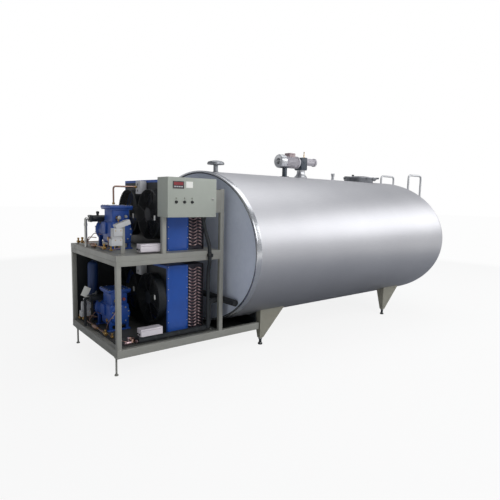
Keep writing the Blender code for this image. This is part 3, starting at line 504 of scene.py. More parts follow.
# Painted shade: the coil's end plates are a dark grey for the shade at the coil's edges.
COIL_PLATE_PAINTED_SHADE = body("galvanised_coil_plate_painted_shade", "#4a4850", "#3a3940", 0.55, 0.6, 14.0, 0.08)
STEEL = body("zinc_plated_steel", "#b4b4b0", "#96958f", 0.34, 1.0, 2.0, 0.04)
FOAM = body("nitrile_foam_insulation", "#24272a", "#34373a", 0.88, 0.0, 1.5, 0.5)
ABS_WHITE = body("moulded_white_abs", "#d5cfd5", "#c6c0c6", 0.42, 0.0, 1.2, 0.06)
ABS_GREY = body("moulded_grey_abs", "#b5b6b8", "#a3a4a6", 0.45, 0.0, 1.2, 0.06)
NYLON = body("glass_filled_nylon_blade", "#171a1d", "#24282b", 0.40, 0.0, 1.2, 0.10)
RUBBER = body("black_rubber_cable", "#1f2326", "#2b2f32", 0.62, 0.0, 1.5, 0.15)
BUTTON = body("black_acetal_button", "#16191b", "#1f2224", 0.30, 0.0, 1.2, 0.03)
LAMP = body("clear_acrylic_lamp", "#8d9287", "#7b8075", 0.20, 0.0, 1.2, 0.02)
SCREEN = body("smoked_acrylic_window", "#4a4548", "#3c383b", 0.16, 0.0, 1.2, 0.01)
RED_FILTER = body("red_display_filter", "#8a3c40", "#742f34", 0.20, 0.0, 1.2, 0.01)
PAPER = body("matt_paper_tag", "#e4e4df", "#d2d2cb", 0.70, 0.0, 1.0, 0.05)
RED_CAP = body("red_plastic_cap", "#8c423c", "#703430", 0.45, 0.0, 1.2, 0.05)
SEALANT = body("dark_joint_sealant", "#3a3e44", "#2e3237", 0.55, 0.0, 3.0, 0.10)
PINK_BOX = body("aged_terminal_cover", "#a89799", "#928184", 0.45, 0.0, 2.0, 0.08)
print("nineteen plain bodies")

# %% [markdown]
# A coil is a stack of aluminium fins 2.5 mm apart. They are drawn 10 mm apart here so
# that they still show, as a wave that runs across the coil, with painted shade in the
# dark bands between fins.

# %% Finned block
def fins(name, pitch_mm):
    mat, tree, surface, place = finish(name, Roughness=0.42, Metallic=1.0)
    waves = 1000.0 / pitch_mm / 10.0 * math.pi / 1.6
    wave = add(tree, "TexWave", {"Vector": place, "Scale": waves, "Distortion": 0.15},
               bands_direction="Y")
    # The darkest stop is painted shade in the gaps between fins.
    tone = shades(tree, wave.outputs["Fac"], ["#4b4c4f", "#8e8f93", "#b9babd"])
    wire(tree, tone, surface.inputs["Base Color"])
    bump = add(tree, "Bump", {"Height": wave.outputs["Fac"], "Strength": 0.6,
                              "Distance": 0.003})
    wire(tree, bump.outputs["Normal"], surface.inputs["Normal"])
    return mat


FINS = fins("coil_fin_stack", 10.0)
print("coil fins")

# %% [markdown]
# ## The tank
# The barrel is one oval: sheet rolled round formers 2.24 m wide and 1.70 m high. It
# could be lofted through sections, but an oval circle carried along its axis and then
# drawn in over the dished end is exactly how it is fabricated, and shades without a
# seam. The CAD cuts it in six arcs for collision; this one skin stands for them all.

# %% Tank sizes and end profile
RIM_X = CAD_BOX[0][0] + 1.2015
HALF_W, HALF_H, AXIS, CROWN = 1.118, 0.850, 1.090, 1.940
LENGTH, WALL, RIM_DEPTH = 3.470, 0.070, 0.060
OVAL = (1, HALF_W / HALF_H, 1)


def at(x):
    return RIM_X + x


def dished(radius, depth, knuckle, steps):
    """A dished end as (radius, height) steps, from its skirt to its tip."""
    crown = (depth ** 2 - knuckle ** 2 + (radius - knuckle) ** 2) / (2 * (depth - knuckle))
    turn = math.asin((radius - knuckle) / (crown - knuckle))
    out = [(radius - knuckle + knuckle * math.sin(a), knuckle * math.cos(a))
           for a in (math.pi / 2 + (turn - math.pi / 2) * i / steps for i in range(steps + 1))]
    for i in range(1, steps + 1):
        a = turn * (1 - i / steps)
        out.append((crown * math.sin(a), depth - crown + crown * math.cos(a)))
    return out


print("tank from", round(at(0), 3), "to", round(at(LENGTH), 3), "plus a dished end")

# %% Outer skin
END = dished(HALF_H, 0.450, 0.150, 12)
STEPS = [(HALF_H, RIM_DEPTH + 0.0005 + (LENGTH - RIM_DEPTH) * i / 12) for i in range(12)]
STEPS += [(r, LENGTH + h) for r, h in END]
skin = turned("tank_skin", STEPS, (at(0), 0, AXIS), ALONG_X, 168, close=False, sweep=OVAL)
apply(skin, "SOLIDIFY", thickness=0.003, offset=-1)
MAN_X = 2.930
cut(skin, rod("manway_cutter", 0.2180, (at(MAN_X), 0, 1.70), (at(MAN_X), 0, 2.10), 72, 0))
SHELL = [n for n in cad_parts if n.startswith("shell_")]
done(skin, "frame", BRUSHED, SHELL + ["rear_dome"], 40)
print("skin faces:", len(skin.data.polygons))

# %% Inner vessel, seen through the manway
INNER_END = dished(HALF_H - WALL, 0.380, 0.115, 10)
STEPS = [(HALF_H - WALL, 0.0605), (HALF_H - WALL, LENGTH)]
STEPS += [(r, LENGTH + h) for r, h in INNER_END[1:]]
vessel = turned("inner_vessel", STEPS, (at(0), 0, AXIS), ALONG_X, 120,
                sweep=(1, (HALF_W - WALL) / (HALF_H - WALL), 1))
apply(vessel, "SOLIDIFY", thickness=0.002, offset=1)
cut(vessel, rod("manway_cutter", 0.2010, (at(MAN_X), 0, 1.60), (at(MAN_X), 0, 2.10), 48, 0))
done(vessel, "frame", INNER)
print("vessel faces:", len(vessel.data.polygons))

# %% [markdown]
# The front end is a flat oval sheet set 14 mm into a polished band that is rolled over
# the edge of the skin. A thin dark bead of sealant fills the joint. The band is turned
# as a closed ring; its face is rounded so that it catches one bright line.

# %% Rim, end sheet and sealant
RIM = [(0.8540, 0.058), (0.8540, 0.010), (0.8528, 0.004), (0.8490, 0.0008), (0.8440, 0.0),
       (0.8390, 0.0012), (0.8350, 0.0045), (0.8330, 0.010), (0.8330, 0.020), (0.8400, 0.030),
       (0.8400, 0.058), (0.8540, 0.058)]
rim = turned("rim_band", RIM, (at(0), 0, AXIS), ALONG_X, 168, close=False,
             sweep=(1, 1.122 / 0.854, 1))
done(rim, "frame", POLISHED, ["front_rim"], 50)
FACE = [(0.8325, 0.050), (0.8325, 0.0180), (0.8300, 0.0150), (0.8200, 0.0141),
        (0.6000, 0.0125), (0.3500, 0.0112), (0.1500, 0.0106), (0.0200, 0.0105)]
plate = turned("front_end_sheet", FACE, (at(0), 0, AXIS), ALONG_X, 168, sweep=OVAL)
done(plate, "frame", END_SHEET, ["front_end"], 40)
BEAD = [(0.8290 + 0.0055 * math.cos(a), 0.0140 + 0.0055 * math.sin(a))
        for a in (math.tau * i / 8 for i in range(9))]
bead = turned("end_sealant", BEAD, (at(0), 0, AXIS), ALONG_X, 168, close=False, sweep=OVAL)
done(bead, "frame", SEALANT)
print("rim", [round(v, 3) for v in rim.dimensions])

# %% [markdown]
# ## Rack
# The rack is welded from square hollow section, rolled with 4 mm outside corners, with
# lighter flat bars. Each length is a block with its long edges rounded, laid on the
# frame's own box. Where two lengths meet, a short fillet of weld is left proud: a thin
# tube with a small ripple along it.

# %% Rolled sections
REACH, HALF, POST, LOW_Z, LOW_TOP = 1.2015, 0.645, 0.045, 0.184, 0.261
MID_Z, MID_TOP, REAR0 = 1.018, 1.063, at(-0.105)
X0 = at(-REACH)
for tag, side, top in (("near", -1, 1.730), ("far", 1, MID_TOP)):
    ys = sorted((side * HALF, side * (HALF - POST)))
    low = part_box("rail_low_" + tag)
    rail = block("rail_" + tag, (X0, ys[0], LOW_Z), (low[1].x, ys[1], LOW_TOP), 0.004, 3)
    post = block("post", (REAR0, ys[0] + 0.001, LOW_TOP - 0.004),
                 (REAR0 + POST, ys[1] - 0.001, top), 0.004, 3)
    done(weld("side_low_" + tag, [rail, post]), "frame", RACK_ENAMEL,
         ["rail_low_" + tag])
    rail = block("rail", (X0, ys[0], MID_Z), (REAR0 - 0.0003, ys[1], MID_TOP), 0.004, 3)
    post = block("post", (X0 + 0.001, ys[0] + 0.001, LOW_TOP),
                 (X0 + POST, ys[1] - 0.001, MID_Z + 0.004), 0.004, 3)
    done(weld("side_mid_" + tag, [rail, post]), "frame", RACK_ENAMEL,
         ["rail_mid_" + tag])
low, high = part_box("cross_mid_front")
done(block("cross_mid_bar", low, high, 0.004, 3), "frame", RACK_ENAMEL,
     ["cross_mid_front"])
print("rack sides and bars")

# %% [markdown]
# The front bar stands on two screw feet: a pad, a threaded stem and a lock nut. A nut
# is a cylinder of six sides; a thread is a stack of thin rings, since at this size the
# slope of a true screw can't be seen.

# %% Front bar and screw feet
foot_y, foot_x = 0.555, X0 + 0.026
low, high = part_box("cross_low_front")
bar = [block("bar", (low.x, low.y, LOW_Z), (high.x, high.y, LOW_TOP), 0.004, 3)]
THREAD = [(0.0085, 0.0)] + [(0.0095 if i % 2 else 0.0080, 0.006 + 0.004 * i)
                            for i in range(40)]
PAD = [(0.0175, 0.0), (0.0178, 0.003), (0.0178, 0.009), (0.0160, 0.012), (0.0100, 0.0125)]
for side in (-1, 1):
    spot = (foot_x, side * foot_y, 0)
    bar.append(turned("pad", PAD, spot, sides=28))
    bar.append(turned("thread", THREAD, (spot[0], spot[1], 0.011), sides=14))
    bar.append(rod("nut", 0.0185, (spot[0], spot[1], LOW_Z - 0.016),
                   (spot[0], spot[1], LOW_Z + 0.001), 6, 0.001))
done(weld("front_bar_on_feet", bar), "frame", RACK_ENAMEL, ["cross_low_front"])


def weld_bead(name, start, end, radius=0.0035):
    """A fillet of weld between two lengths, a little uneven."""
    line = [Vector(start).lerp(Vector(end), i / 8) for i in range(9)]
    bead = tube(name, line, radius, 8, 0.001, 1)
    for v in bead.data.vertices:
        v.co += Vector((0, 0, 0.0008)) * math.sin(900 * (v.co.x + v.co.y + v.co.z))
    return bead


beads = []
for side in (-1, 1):
    y = side * (HALF - 0.003)
    beads.append(weld_bead("b", (X0 + 0.004, y, LOW_TOP), (X0 + POST - 0.004, y, LOW_TOP)))
    beads.append(weld_bead("b", (X0 + 0.004, y, MID_Z), (X0 + POST - 0.004, y, MID_Z)))
    beads.append(weld_bead("b", (REAR0 + 0.004, y, LOW_TOP), (REAR0 + POST - 0.004, y, LOW_TOP)))
    y = side * (HALF - POST - 0.001)
    beads.append(weld_bead("b", (X0 + 0.0045, y, MID_Z + 0.006),
                           (X0 + 0.0045, y, MID_TOP - 0.006)))
done(weld("rack_welds", beads), "frame", RACK_ENAMEL)
print("front bar, feet and", len(beads), "welds")

# %% [markdown]
# The decks are folded trays with their edges turned down, and the low tray is flat
# sheet. They stay as the frame has them and get their paint. Bolts go where a maker
# would put them: one hexagon head is modelled and copied.

# %% Bolt heads
def bolt(name, at_point, way=UP, size=0.009):
    """A hexagon head on a washer, standing along Z before it is turned."""
    head = rod("head", size, (0, 0, 0.002), (0, 0, 0.002 + size * 0.75), 6, 0.0008)
    washer = turned("washer", [(size * 1.35, 0.0), (size * 1.35, 0.0018), (size, 0.0024)],
                    sides=18)
    return settle(weld(name, [head, washer]), Matrix.Translation(at_point) @ way)


def bolts(name, spots, way=UP, size=0.009):
    first = bolt(name, (0, 0, 0), way, size)
    rest = [copy_of(first, name, spot) for spot in spots]
    bpy.data.objects.remove(first)
    return done(weld(name, rest), "frame", STEEL)


DECK_LOW, DECK_UP = LOW_Z + 0.006 + 0.0003 + 0.079, MID_TOP + 0.0003 + 0.050
for tag, z in (("low", DECK_LOW), ("up", DECK_UP)):
    xs = (at(-1.15), at(-0.66), at(-0.16))
    bolts("deck_bolts_" + tag, [(x, y, z) for x in xs for y in (-0.565, 0.565)])
for name in ("base_up", "box_post", "box_bracket"):
    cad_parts[name].data.materials[0] = RACK_ENAMEL
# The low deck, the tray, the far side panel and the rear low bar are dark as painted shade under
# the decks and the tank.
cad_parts["base_low"].data.materials[0] = LOW_DECK_PAINTED_SHADE
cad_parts["rack_tray"].data.materials[0] = TRAY_PAINTED_SHADE
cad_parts["side_panel_far"].data.materials[0] = BLACK
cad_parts["cross_low_rear"].data.materials[0] = BLACK
for name in ("leg_front_near", "leg_front_far", "leg_rear_near", "leg_rear_far"):
    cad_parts[name].data.materials[0] = LEG_ENAMEL
print("decks and legs keep their shape:", round(DECK_LOW, 4), round(DECK_UP, 4))

# %% [markdown]
# ## Condensing units
# Each unit is a casing folded from sheet, drawn at the frame's 4 mm thickness, round an
# air space. It is blue outside, with the folded flanges, a stiffening swage and pan
# head screws that hold it to the coil. The folded edge is a bevel; the swage is an
# inset face pushed in, as the press does it.

# %% Casing
UNIT_FACE, UNIT_BACK, COIL_D, UNIT_HALF, UNIT_H = 0.633, 0.213, 0.182, 0.500, 0.695
FAN_Y, FAN_BORE, COWL = 0.250, 0.243, 0.080
TIERS, SEATS = ("low", "up"), {"low": DECK_LOW + 0.0003, "up": DECK_UP + 0.0003}


def casing(tag):
    low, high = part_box("housing_" + tag)
    sheet = 0.004
    sides = []
    swage = ((0.022, 0), (0.003, -0.0015))
    for name, out, a, b in (
            ("near", (0, -1, 0), (low.x, low.y, low.z), (high.x, low.y + sheet, high.z)),
            ("far", (0, 1, 0), (low.x, high.y - sheet, low.z), high),
            ("top", (0, 0, 1), (low.x, low.y + sheet, high.z - sheet),
             (high.x, high.y - sheet, high.z)),
            ("floor", (0, 0, -1), (low.x, low.y + sheet, low.z),
             (high.x, high.y - sheet, low.z + sheet))):
        wall = press(block(name, a, b, 0), lambda c, n: n.dot(Vector(out)) > 0.9,
                     *(() if name == "floor" else swage))
        sides.append(soften(wall, 0.0012, 2, 50))
    return done(weld("casing_" + tag, sides), "frame", BLUE, ["housing_" + tag])


for tag in TIERS:
    case = casing(tag)
    low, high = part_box("housing_" + tag)
    for name, y, turn in (("near", low.y, AGAINST_Y), ("far", high.y, ALONG_Y)):
        spots = [(x, y, low.z + 0.012 + (UNIT_H - 0.024) * i / 6)
                 for x in (low.x + 0.011, high.x - 0.011) for i in range(7)]
        bolts("casing_screws_%s_%s" % (tag, name), spots, turn, 0.0035)
print("two casings", [round(v, 3) for v in case.dimensions])

# %% [markdown]
# The fan wall carries two cowls. A cowl is spun from a disc: its mouth is rolled outwards
# so that air enters smoothly. The wall is a plate with two holes cut through it. A blue
# lip of the casing folds round its edge, and a grey wiring cover with two cable glands
# sits high between the cowls.

# %% Fan wall and cowls
MOUTH = [(0.2430, -COWL), (0.2440, -COWL), (0.2478, -COWL), (0.2490, -COWL),
         (0.2490, -0.070), (0.2468, -0.066), (0.2468, 0.001), (0.2430, 0.001),
         (0.2430, -COWL)]
for tag in TIERS:
    low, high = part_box("fan_wall_" + tag)
    zf = SEATS[tag] + UNIT_H / 2
    face = at(-UNIT_FACE)
    wall = block("wall", (face, low.y, low.z), (face + 0.004, high.y, high.z), 0.0008, 1)
    parts = [wall]
    for y in (-FAN_Y, FAN_Y):
        cut(wall, rod("bore", FAN_BORE + 0.001, (face - 0.02, y, zf), (face + 0.02, y, zf), 72, 0))
        parts.append(turned("cowl", MOUTH, (face, y, zf), ALONG_X, 72, close=False))
    done(weld("fan_wall_panel_" + tag, parts), "frame", BLACK,
         ["fan_wall_" + tag])
    lip = block("lip", (face - 0.0016, low.y + 0.001, high.z - 0.026),
                (face - 0.0002, high.y - 0.001, high.z - 0.0004), 0.0004, 1)
    for y in (low.y + 0.001, high.y - 0.013):
        side = block("lip", (face - 0.0016, y, low.z + 0.001), (face - 0.0002, y + 0.012,
                                                               high.z - 0.026), 0.0004, 1)
        lip = weld("casing_lip", [lip, side])
    done(lip, "frame", BLUE)
    seat = (face - 0.0745, -0.0545, zf + FAN_BORE * 0.83)
    top = SEATS[tag] + UNIT_H - 0.0125
    cover = press(block("cover", seat, (face - 0.001, 0.0545, top), 0.004, 3),
                  lambda c, n: n.x < -0.9 and c.x < face - 0.07, (0.006, -0.0012))
    done(cover, "frame", ABS_GREY)
    mid = (zf + FAN_BORE * 0.83 + top) / 2
    glands = [rod("gland", 0.0085, (face - 0.0745, 0.01, mid + s * 0.032),
                  (face - 0.0700, 0.01, mid + s * 0.032), 20, 0.001) for s in (-1, 1)]
    glands += [turned("ring", [(0.0120, 0.0), (0.0120, 0.003), (0.0085, 0.0042)],
                      (face - 0.0705, 0.01, mid + s * 0.032), AGAINST_X, 20)
               for s in (-1, 1)]
    done(weld("cover_glands_" + tag, glands), "frame", BUTTON)
print("two fan walls with four cowls")

# %% [markdown]
# A guard is welded from 3 mm galvanised wire, powder coated black: twelve rings on
# eight spokes, round a plate that carries the motor. Each ring is a torus of its own
# size. The motor is an external rotor type with cast ribs, and a blank rating plate is
# clipped to the wires beside it.

# %% Wire guards and motors
def guard(tag, side, y):
    zf = SEATS[tag] + UNIT_H / 2
    x = at(-UNIT_FACE) - COWL - 0.0003 - 0.003
    wires = []
    for i in range(12):
        wires.append(hoop((x, y, zf), 0.072 + 0.0160 * i, 0.0016))
    hub = turned("plate", [(0.066, -0.002), (0.066, 0.0), (0.060, 0.003), (0.030, 0.003)],
                 (x, y, zf), ALONG_X, 36)
    wires.append(hub)
    for k in range(8):
        a = math.tau * k / 8 + math.pi / 8
        way = Vector((0, math.cos(a), math.sin(a)))
        start = Vector((x + 0.0015, y, zf)) + way * 0.060
        wires.append(rod("spoke", 0.0022 if k % 2 else 0.0032, start,
                         start + way * 0.1875, 8, 0))
    done(weld("guard_wires_%s_%s" % (tag, side), wires), "frame", BLACK,
         ["guard_%s_%s" % (tag, side)])
    ribs = [turned("motor", [(0.034, 0.0), (0.046, 0.002), (0.048, 0.008), (0.048, 0.052),
                             (0.044, 0.060), (0.020, 0.062)], (x + 0.004, y, zf), ALONG_X, 36)]
    for k in range(18):
        a = math.tau * k / 18
        rib = block("rib", (x + 0.010, -0.0015, 0.0460), (x + 0.054, 0.0015, 0.0495), 0.0006, 1)
        ribs.append(settle(rib, Matrix.Translation((0, y, zf)) @ Matrix.Rotation(a, 4, "X")))
    ribs.append(rod("nameplate_screw", 0.006, (x - 0.0025, y, zf), (x + 0.002, y, zf), 12, 0.001))
    done(weld("fan_motor_%s_%s" % (tag, side), ribs), "frame", BLACK_CAST)
    pz = zf + (0.006 if tag == "low" else -0.052)
    plate = block("rating_plate", (x - 0.0030, y - 0.172, pz), (x - 0.0016, y - 0.140, pz + 0.048),
                  0.0005, 1)
    done(plate, "frame", PAPER)


FANS = [(tag, side, y) for tag in TIERS for side, y in (("near", -FAN_Y), ("far", FAN_Y))]
for tag, side, y in FANS:
    guard(tag, side, y)
print("four guards and motors")

# %% [markdown]
# The five blades sweep forward and are pitched so that they push air through the coil.
# One blade starts as a plane cut into a grid. Its rows are turned a little more towards
# the hub, which gives it twist, and it gets its thickness last. The other four are
# copies turned about the shaft, and all ride on the fan's own body.

# %% Fan blades
def blade():
    clear()
    bpy.ops.mesh.primitive_plane_add(size=1)
    one = bpy.context.object
    bpy.ops.object.mode_set(mode="EDIT")
    bpy.ops.mesh.subdivide(number_cuts=9)
    bpy.ops.object.mode_set(mode="OBJECT")
    for v in one.data.vertices:
        across, out = v.co.x, v.co.y + 0.5
        radius = 0.055 + 0.172 * out
        chord = 0.085 + 0.060 * out
        lead = 0.30 * out ** 1.5
        angle = across * chord / radius + lead
        pitch = math.radians(34 - 14 * out)
        lift = across * chord * math.tan(pitch) * (0.55 + 0.10 * out)
        camber = 0.010 * (0.25 - across * across)
        v.co = Vector((lift + camber, radius * math.cos(angle), radius * math.sin(angle)))
    return apply(one, "SOLIDIFY", thickness=0.0026, offset=0)


pattern = soften(outward(blade()), 0.0006, 1, 50)
for tag, side, y in FANS:
    low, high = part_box("fan_%s_%s" % (tag, side))
    centre = Vector(((low.x + high.x) / 2, y, SEATS[tag] + UNIT_H / 2))
    blades = [copy_of(pattern, "blade", centre, Matrix.Rotation(math.tau * k / 5, 4, "X"))
              for k in range(5)]
    hub = turned("hub", [(0.058, -0.030), (0.061, -0.026), (0.061, 0.024), (0.056, 0.031),
                         (0.040, 0.034), (0.012, 0.034), (0.010, 0.036), (0.004, 0.036)],
                 centre, ALONG_X, 40)
    apply(hub, "BEVEL", width=0.001, segments=2, limit_method="ANGLE")
    done(weld("fan_rotor_%s_%s" % (tag, side), blades + [hub]), "fan_%s_%s_rotor" % (tag, side),
         NYLON, ["fan_%s_%s" % (tag, side)])
bpy.data.objects.remove(pattern)
print("four rotors of five blades")

# %% [markdown]
# The coil is three rows of copper tube through a stack of fins, between two galvanised
# end plates. On the end plate the tubes come out and turn back through return bends,
# soldered on. One bend is half a ring spun from a circle. The bends lie slanted between
# the rows, so copies turned one way and then the other make a herringbone down the coil.

# %% Coil block and end plates
COIL_X0, COIL_X1 = at(-UNIT_BACK - COIL_D), at(-UNIT_BACK)
PLATE_IN = 0.026


def coil(tag):
    z0, z1 = SEATS[tag], SEATS[tag] + UNIT_H
    y_in = UNIT_HALF - PLATE_IN
    core = block("core", (COIL_X0 + 0.012, -y_in, z0 + 0.020),
                 (COIL_X1 - 0.012, y_in, z1 - 0.020), 0.0006, 1)
    pick(core, lambda c, n: abs(n.x) > 0.9)
    bpy.ops.mesh.subdivide(number_cuts=3)
    bpy.ops.object.mode_set(mode="OBJECT")
    done(core, "frame", FINS, ["coil_" + tag])
    pans = []
    for name, a, b in (("top", (COIL_X0, -UNIT_HALF, z1 - 0.003), (COIL_X1, UNIT_HALF, z1)),
                       ("low", (COIL_X0, -UNIT_HALF, z0), (COIL_X1, UNIT_HALF, z0 + 0.003))):
        pans.append(block(name, a, b, 0.0008, 1))
    for x in (COIL_X0, COIL_X1 - 0.003):
        for a, b in ((z1 - 0.032, z1 - 0.003), (z0 + 0.003, z0 + 0.032)):
            pans.append(block("lip", (x, -UNIT_HALF, a), (x + 0.003, UNIT_HALF, b), 0.0008, 1))
    for side in (-1, 1):
        ys = sorted((side * y_in, side * (y_in + 0.002)))
        pans.append(block("end", (COIL_X0 + 0.003, ys[0], z0 + 0.003),
                          (COIL_X1 - 0.003, ys[1], z1 - 0.003), 0.0006, 1))
        ys = sorted((side * (y_in + 0.002), side * UNIT_HALF))
        for x in (COIL_X0, COIL_X1 - 0.003):
            pans.append(block("edge", (x, ys[0], z0 + 0.032), (x + 0.003, ys[1], z1 - 0.032),
                              0.0006, 1))
    # The coil frame's dark grey is painted shade.
    done(weld("coil_frame_" + tag, pans), "frame", COIL_PLATE_PAINTED_SHADE)


for tag in TIERS:
    coil(tag)
print("two coils")

# %% Return bends
def return_bend():
    """Half a ring of tube that bulges towards -Y, 46 mm from foot to foot."""
    clear()
    bpy.ops.mesh.primitive_circle_add(vertices=8, radius=0.0078, location=(0.0230, 0, 0),
                                      rotation=(math.pi / 2, 0, 0))
    bend_ = bpy.context.object
    settle(bend_)
    bpy.ops.object.mode_set(mode="EDIT")
    bpy.ops.mesh.select_all(action="SELECT")
    bpy.ops.mesh.spin(steps=8, angle=-math.pi, center=(0, 0, 0), axis=(0, 0, 1))
    bpy.ops.object.mode_set(mode="OBJECT")
    for v in bend_.data.vertices:
        v.co.y *= 0.75
    cap_ends(bend_)
    return outward(bend_)


arch = return_bend()
low, high = min(v.co.y for v in arch.data.vertices), max(v.co.y for v in arch.data.vertices)
if high > abs(low):
    arch = settle(arch, Matrix.Rotation(math.pi, 4, "Z"))
ROWS = 19
for tag in TIERS:
    for side in (-1, 1):
        y = side * (UNIT_HALF - PLATE_IN + 0.002)
        found = []
        for i in range(ROWS):
            z = SEATS[tag] + 0.050 + (UNIT_H - 0.100) * i / (ROWS - 1)
            for k, x in enumerate((0.034, 0.091, 0.148)):
                tilt = math.radians(-28 if k == 1 else 28)
                turn = Matrix.Rotation(tilt, 4, "Y")
                if side > 0:
                    turn = Matrix.Rotation(math.pi, 4, "Z") @ turn
                found.append(copy_of(arch, "bend", (COIL_X0 + x, y, z), turn))
        done(weld("return_bends_%s_%s" % (tag, "near" if side < 0 else "far"), found),
             "frame", BEND_COPPER, (), 60)
bpy.data.objects.remove(arch)
print("return bends:", ROWS * 12)

# %% [markdown]
# ## Compressors
# These are semi-hermetic compressors: a cast crankcase with a bolted head, end covers
# with bolts round a flange, a wiring box, a sight glass, valves and feet. Castings have
# soft edges, so each part is turned or bevelled with a radius of several millimetres
# before the bolts, which are crisp, go on. A brass service valve stands on the near end
# with a screwed cap, red on the low tier.

# %% Compressor casting
COMP_X, COMP_Y = at(-0.955), {"low": 0.090, "up": 0.020}


def compressor(tag):
    seat = SEATS[tag]
    cx, cy, zc = COMP_X, COMP_Y[tag], seat + 0.175
    y0, y1 = cy - 0.220, cy + 0.220
    top = seat + 0.437
    barrel = turned("barrel", [(0.055, 0.0), (0.096, 0.004), (0.102, 0.012), (0.102, 0.020),
                               (0.109, 0.024), (0.109, 0.036), (0.102, 0.040), (0.102, 0.150),
                               (0.107, 0.156), (0.107, 0.300), (0.102, 0.306), (0.102, 0.400),
                               (0.121, 0.410), (0.121, 0.428), (0.099, 0.436), (0.064, 0.458),
                               (0.028, 0.461)], (cx, y0, zc), ALONG_Y, 48)
    parts = [soften(barrel, 0.003, 2, 40)]
    parts.append(block("crankcase", (cx - 0.102, y0 + 0.03, seat + 0.056),
                       (cx + 0.102, y0 + 0.27, zc + 0.10), 0.020, 4))
    parts.append(block("cylinders", (cx - 0.086, y0 + 0.04, zc + 0.05),
                       (cx + 0.086, y0 + 0.26, top - 0.030), 0.012, 3))
    parts.append(block("valve_plate", (cx - 0.112, y0 + 0.024, top - 0.047),
                       (cx + 0.112, y0 + 0.276, top - 0.038), 0.003, 2))
    head = block("head", (cx - 0.116, y0 + 0.020, top - 0.036),
                 (cx + 0.116, y0 + 0.280, top - 0.009), 0)
    pick(head, lambda c, n: n.z > 0.9)
    bpy.ops.mesh.inset(thickness=0.026, depth=0)
    bpy.ops.transform.translate(value=(0, 0, 0.004))
    bpy.ops.mesh.inset(thickness=0.014, depth=-0.003)
    bpy.ops.object.mode_set(mode="OBJECT")
    parts.append(soften(head, 0.005, 3, 25))
    for k in range(3):
        x = cx - 0.060 + 0.060 * k
        parts.append(block("fin", (x - 0.004, y0 + 0.050, top - 0.014),
                           (x + 0.004, y0 + 0.250, top - 0.006), 0.002, 2))
    for y in (y0 + 0.06, y1 - 0.06):
        parts.append(block("foot", (cx - 0.119, y - 0.020, seat),
                           (cx + 0.119, y + 0.020, seat + 0.014), 0.004, 2))
        for s in (-1, 1):
            parts.append(block("leg", (cx + s * 0.086 - 0.016, y - 0.016, seat + 0.010),
                               (cx + s * 0.086 + 0.016, y + 0.016, zc - 0.050), 0.006, 2))
    done(weld("compressor_casting_" + tag, parts), "frame", BLUE_CAST,
         ["compressor_" + tag])
    heads = [(cx + sx * 0.101, y0 + 0.036 + 0.0570 * k, top - 0.009) for sx in (-1, 1)
             for k in range(5)] + [(cx + sx * 0.045, y0 + u, top - 0.009)
                                   for sx in (-1, 1) for u in (0.034, 0.266)]
    bolts("head_bolts_" + tag, heads, UP, 0.0065)
    ring = [(cx + 0.111 * math.cos(a), y1 + 0.016, zc + 0.111 * math.sin(a))
            for a in (math.tau * (k + 0.5) / 12 for k in range(12))]
    bolts("cover_bolts_" + tag, ring, ALONG_Y, 0.005)
    ring = [(cx + 0.086 * math.cos(a), y0 + 0.003, zc + 0.086 * math.sin(a))
            for a in (math.tau * (k + 0.5) / 10 for k in range(10))]
    bolts("end_bolts_" + tag, ring, AGAINST_Y, 0.006)
    glass = [rod("brass_ring", 0.021, (cx - 0.100, y0 + 0.11, seat + 0.105),
                 (cx - 0.110, y0 + 0.11, seat + 0.105), 24, 0.002),
             rod("eye", 0.014, (cx - 0.108, y0 + 0.11, seat + 0.105),
                 (cx - 0.1115, y0 + 0.11, seat + 0.105), 20, 0.001)]
    done(weld("oil_sight_glass_" + tag, glass), "frame", BRASS)
    cover = press(block("terminal", (cx - 0.1215, y0 + 0.150, seat + 0.150),
                        (cx - 0.098, y0 + 0.260, seat + 0.262), 0.006, 3),
                  lambda c, n: n.x < -0.9 and c.x < cx - 0.120, (0.010, -0.0015))
    done(cover, "frame", BLUE_CAST)
    vx, vz = cx - 0.040, seat + 0.315
    valve = [rod("body", 0.0170, (vx, y0 + 0.044, vz), (vx, y0 - 0.002, vz), 20, 0.003),
             rod("nut", 0.0200, (vx, y0 + 0.030, vz), (vx, y0 + 0.016, vz), 6, 0.002),
             rod("branch", 0.0085, (vx, y0 + 0.008, vz), (vx, y0 + 0.008, vz - 0.034), 14, 0.001)]
    done(weld("service_valve_" + tag, valve), "frame", BRASS)
    caps = [soften(rod("cap", 0.0185, (vx, y0 - 0.001, vz), (vx, y0 - 0.022, vz), 20, 0),
                   0.004, 3),
            rod("plug", 0.0150, (cx + 0.045, y0 + 0.045, vz + 0.010),
                (cx + 0.045, y0 + 0.020, vz + 0.010), 16, 0.003)]
    done(weld("valve_caps_" + tag, caps), "frame",
         RED_CAP if tag == "low" else STEEL)


for tag in TIERS:
    compressor(tag)
print("two compressors")

# %% [markdown]
# The suction valve is black cast iron with a steel cap, bolted to the barrel, and a
# drop pipe goes down from it to the deck. On the lower tier the oil separator stands
# behind: a blue bottle with dished ends and a flare nut on top.

